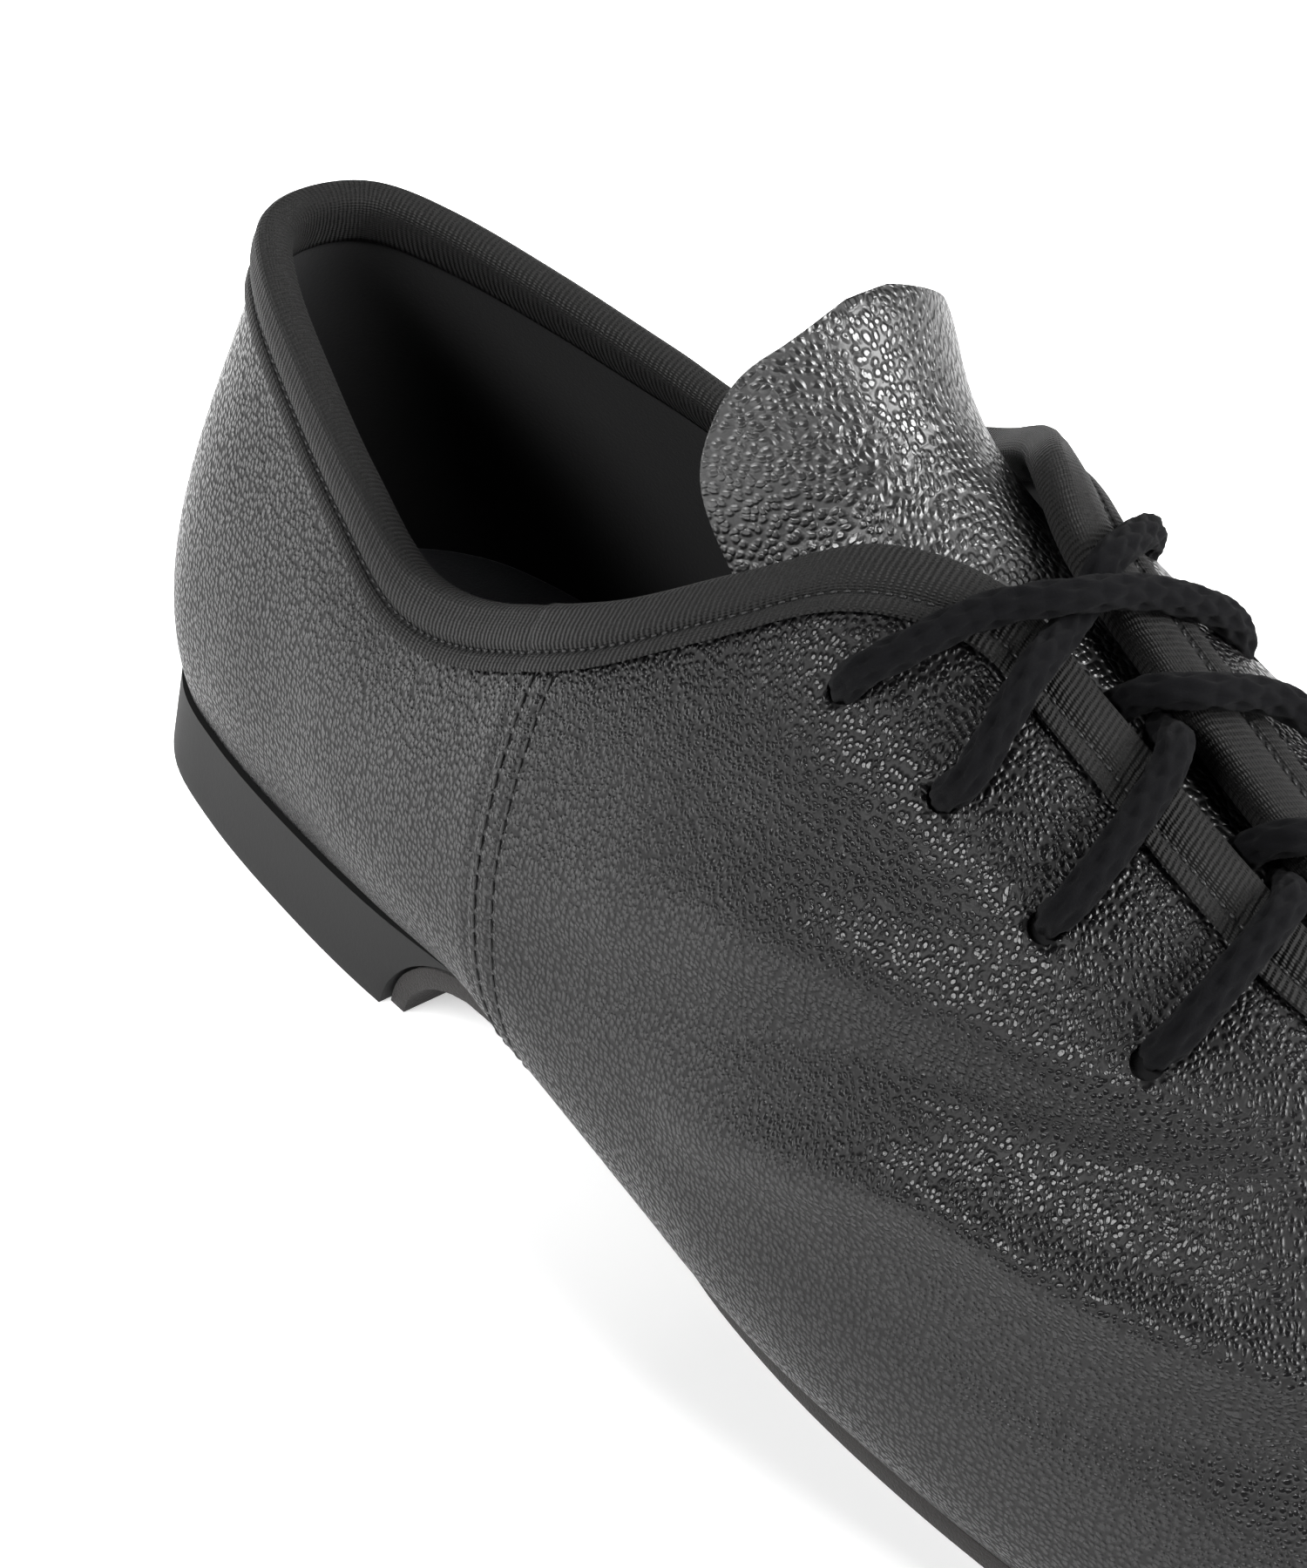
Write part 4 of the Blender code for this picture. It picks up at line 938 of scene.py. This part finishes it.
def makeSock():
    inset = upper["wall"] + bottom["fitGap"] * 3
    loop = footPlan()
    start, tip = loop[:, 0].min() + inset, loop[:, 0].max() - inset
    turn = np.linspace(*bottom["sockEnds"], bottom["sockRows"]) * math.pi
    xs = start + (tip - start) * (0.5 - 0.5 * np.cos(turn))
    outer, inner = footSides(xs, -inset)
    share = 0.5 - 0.5 * np.cos(np.linspace(0, math.pi, bottom["sockAcross"]))
    y = outer[:, None] + (inner - outer)[:, None] * share
    x = np.broadcast_to(xs[:, None], y.shape)
    dish = (np.abs(share * 2 - 1) ** 4)[None, :] * bottom["sockDish"]
    z = seatHeight(x) + last["seatGap"] + bottom["insoleThick"] + dish
    obj = bendGrid("feltSock", np.stack([x, y, z], axis=-1), feltSock)
    faceUp(obj)
    addWall(obj, bottom["insoleThick"])
    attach(obj, "root")
    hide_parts("insole")


makeSole()
makeHeel()
makeSock()
print("bottom made")

# Lace: one round cotton braid, over the instep as x, y and height over the leather. It starts under the top
# outer hole, goes down one way, across under the bottom pair and back up the other way.
laceWay = {
    "diameter": 3.6, "plaits": 6, "plaitLength": 5.2, "plaitDepth": 0.3, "plaitLevel": 0.6, "step": 0.22,
    "around": 30, "pointSteps": 12, "easeRounds": 6, "coarse": 4,
    "topOuterToSecondInner": (
        (126.8, -24.0, -3.4), (126.9, -23.9, -0.6), (127.9, -22.6, 1.7), (130.4, -18.7, 2.7),
        (133.0, -12.2, 3.5),
        (136.5, -5.9, 5.7), (138.6, 2.5, 4.0), (140.8, 10.2, 2.5), (141.7, 14.4, 1.4), (142.0, 16.9, -0.8),
    ),
    "underInnerSide": ((142.1, 17.2, -3.4), (143.6, 13.2, -5.0), (145.8, 8.0, -5.0), (147.6, 3.0, -4.6)),
    "slitToThirdOuter": (
        (149.1, -0.8, -2.2), (150.6, -2.2, 0.8), (152.4, -4.8, 3.0), (154.5, -8.6, 3.5), (157.0, -15.1, 2.9),
        (157.8, -20.6, 2.0), (157.1, -22.6, -0.4),
    ),
    "underOuterSide": ((157.2, -22.0, -3.4), (158.6, -17.5, -5.0), (160.4, -11.0, -5.0), (161.6, -6.6, -4.6)),
    "slitToFourthInner": (
        (162.5, -3.2, -2.0), (163.8, -2.4, 1.4), (165.4, -1.3, 4.4), (167.0, 1.2, 5.4), (168.4, 5.2, 4.2),
        (170.2, 10.6, 2.7), (171.6, 14.9, 1.7), (172.0, 16.9, -0.5),
    ),
    "bottomBar": ((172.1, 16.9, -3.4), (171.8, 12.0, -4.8), (171.7, 4.0, -5.2), (171.7, -5.0, -5.2),
                  (171.8, -14.0, -4.8), (172.0, -21.0, -3.4)),
    "fourthOuterToSlit": (
        (172.2, -22.0, -0.4), (172.9, -19.6, 2.0), (172.8, -15.8, 2.8), (171.8, -10.4, 3.4),
        (170.4, -6.0, 3.2),
        (168.6, -2.8, 0.8),
    ),
    "underInnerAgain": ((167.0, -0.4, -2.6), (165.4, 2.6, -4.7), (162.6, 8.0, -5.0), (159.0, 13.6, -5.0),
                        (157.2, 17.2, -3.4)),
    "thirdInnerToSlit": (
        (157.0, 17.2, -0.4), (156.0, 15.2, 1.9), (154.3, 12.2, 2.7), (151.9, 8.2, 3.6), (150.2, 3.6, 4.6),
        (148.3, -0.6, 4.8), (146.4, -2.3, 2.2),
    ),
    "underOuterAgain": ((145.2, -3.4, -1.8), (144.2, -6.6, -4.6), (143.4, -11.0, -5.0), (142.6, -17.5, -5.0),
                        (142.0, -22.4, -3.4)),
    "secondOuterToTopInner": (
        (142.0, -23.4, -0.4), (143.1, -21.4, 1.9), (142.5, -18.6, 2.6), (140.0, -12.5, 3.3),
        (136.9, -4.6, 2.4),
        (134.2, 1.8, 3.3), (131.1, 9.7, 2.3), (129.8, 12.8, 1.3), (128.3, 15.6, -1.0), (127.1, 17.5, -3.8),
    ),
}


def makeLace():
    legs = [rows for name, rows in laceWay.items() if isinstance(rows, tuple)]
    points = []
    for x, y, lift in [row for leg in legs for row in leg]:
        place, normal = instep.read(x, y)
        points.append(place + normal * lift)
    steps = laceWay["pointSteps"] * len(points)
    path = curveAt(np.array(points), np.linspace(0, len(points) - 1.001, steps))
    run = np.concatenate([[0], np.cumsum(np.linalg.norm(np.diff(path, axis=0), axis=1))])
    even = np.arange(0, run[-1], laceWay["step"])
    path = np.column_stack([np.interp(even, run, path[:, k]) for k in range(3)])
    for _ in range(laceWay["easeRounds"]):
        path[1:-1] = (path[:-2] + 2 * path[1:-1] + path[2:]) / 4
    ahead = unit(np.gradient(path, axis=0))
    sides = [unit(np.cross(ahead[0], [0, 0, 1.0]))]
    for direction in ahead[1:]:
        turned = sides[-1] - direction * (sides[-1] @ direction)
        sides.append(unit(turned))
    sides = np.array(sides)
    ups = np.cross(sides, ahead)
    angles = np.linspace(0, 2 * math.pi, laceWay["around"] + 1)
    length = np.concatenate([[0], np.cumsum(np.linalg.norm(np.diff(path, axis=0), axis=1))])
    wave = 2 * math.pi * length[:, None] / laceWay["plaitLength"]
    left = np.sin(laceWay["plaits"] * angles[None, :] + wave)
    right = np.sin(laceWay["plaits"] * angles[None, :] - wave)
    plait = np.maximum(left, right) - laceWay["plaitLevel"]
    radius = laceWay["diameter"] / 2 + laceWay["plaitDepth"] * plait
    tube = path[:, None, :] + radius[..., None] * (
        np.cos(angles)[None, :, None] * sides[:, None, :] + np.sin(angles)[None, :, None] * ups[:, None, :]
    )
    uv = np.stack(np.broadcast_arrays(length[:, None], angles[None, :] * laceWay["diameter"] / 2), axis=-1)
    obj = bendGrid("lace", tube, lace, uv, caps=True)
    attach(obj, "root")
    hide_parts("lace_crossing_1", "lace_crossing_2", "lace_crossing_3")


makeLace()
print("lace made")

# Studio, in metres: white paper floor, a pale surround that darkens overhead, and soft boxes. The floor glows
# with painted light: a painted pool of light brightest behind the heel, where the shoe's side mirrors it, and
# an even white glow far away.
studio = {
    "floor": 12.0, "aim": (0.07, 0.0, 0.06), "paintedLightAhead": 0.15, "paintedLightBehind": 1.4, "paintedLightFrom": 0.10,
    "paintedLightTo": -0.15,
    "farFrom": 1.2, "farTo": 2.2, "farGlow": 1.0, "horizon": 0.22, "zenith": 0.03,
    "lights": (
        {"name": "leftStrip", "from": (-0.06, -0.68, 0.60), "size": (0.9, 0.16), "power": 9.0},
        {"name": "rightBox", "from": (0.80, 0.36, 0.58), "size": (0.65, 0.5), "power": 22.0},
        {"name": "topBox", "from": (0.05, 0.35, 1.0), "size": (0.7, 0.7), "power": 3.0},
    ),
}


def addStudio():
    bm = bmesh.new()
    bmesh.ops.create_grid(bm, x_segments=1, y_segments=1, size=studio["floor"])
    mesh = meshFrom(bm, "floor")
    material, tree, shader = newMaterial("whiteFloorWithPaintedLight")
    for name, value in (
        ("Base Color", linear("#fbfbfb")), ("Emission Color", linear("#ffffff")), ("Roughness", 0.9),
        ("Specular IOR Level", 0.1),
    ):
        shader.inputs[name].default_value = value
    # Painted light: the floor's emission is a painted pool of light, strongest behind the heel and weak ahead
    # of it
    place = addNode(tree, "TexCoord").outputs["Object"]
    along = addNode(tree, "SeparateXYZ", {0: place}).outputs["X"]
    paintedLightPool = ramp(
        tree, along, low=studio["paintedLightFrom"], high=studio["paintedLightTo"], start=studio["paintedLightAhead"],
        end=studio["paintedLightBehind"],
    )
    away = addNode(tree, "VectorMath", {0: place}, operation="LENGTH").outputs["Value"]
    far = ramp(tree, away, low=studio["farFrom"], high=studio["farTo"], end=studio["farGlow"])
    tree.links.new(maths(tree, "MAXIMUM", paintedLightPool, far), shader.inputs["Emission Strength"])
    mesh.materials.append(material)
    floor = addObject("floor", mesh)
    for light in studio["lights"]:
        data = bpy.data.lights.new(light["name"], "AREA")
        data.shape = "RECTANGLE"
        data.size, data.size_y = light["size"]
        data.energy = light["power"]
        obj = addObject(light["name"], data)
        spot = Vector(light["from"])
        aim = Vector(studio["aim"]) - spot
        obj.matrix_world = Matrix.Translation(spot) @ aim.to_track_quat("-Z", "Y").to_matrix().to_4x4()
    world = bpy.data.worlds.new("surround")
    world.use_nodes = True
    tree = world.node_tree
    background = tree.nodes["Background"]
    background.inputs["Color"].default_value = (1, 1, 1, 1)
    height = addNode(tree, "SeparateXYZ", {0: addNode(tree, "TexCoord").outputs["Generated"]}).outputs["Z"]
    fall = ramp(tree, height, start=studio["horizon"], end=studio["zenith"])
    tree.links.new(fall, background.inputs["Strength"])
    bpy.context.scene.world = world
    bpy.context.scene.view_settings.view_transform = "Standard"


addStudio()
print("studio made")
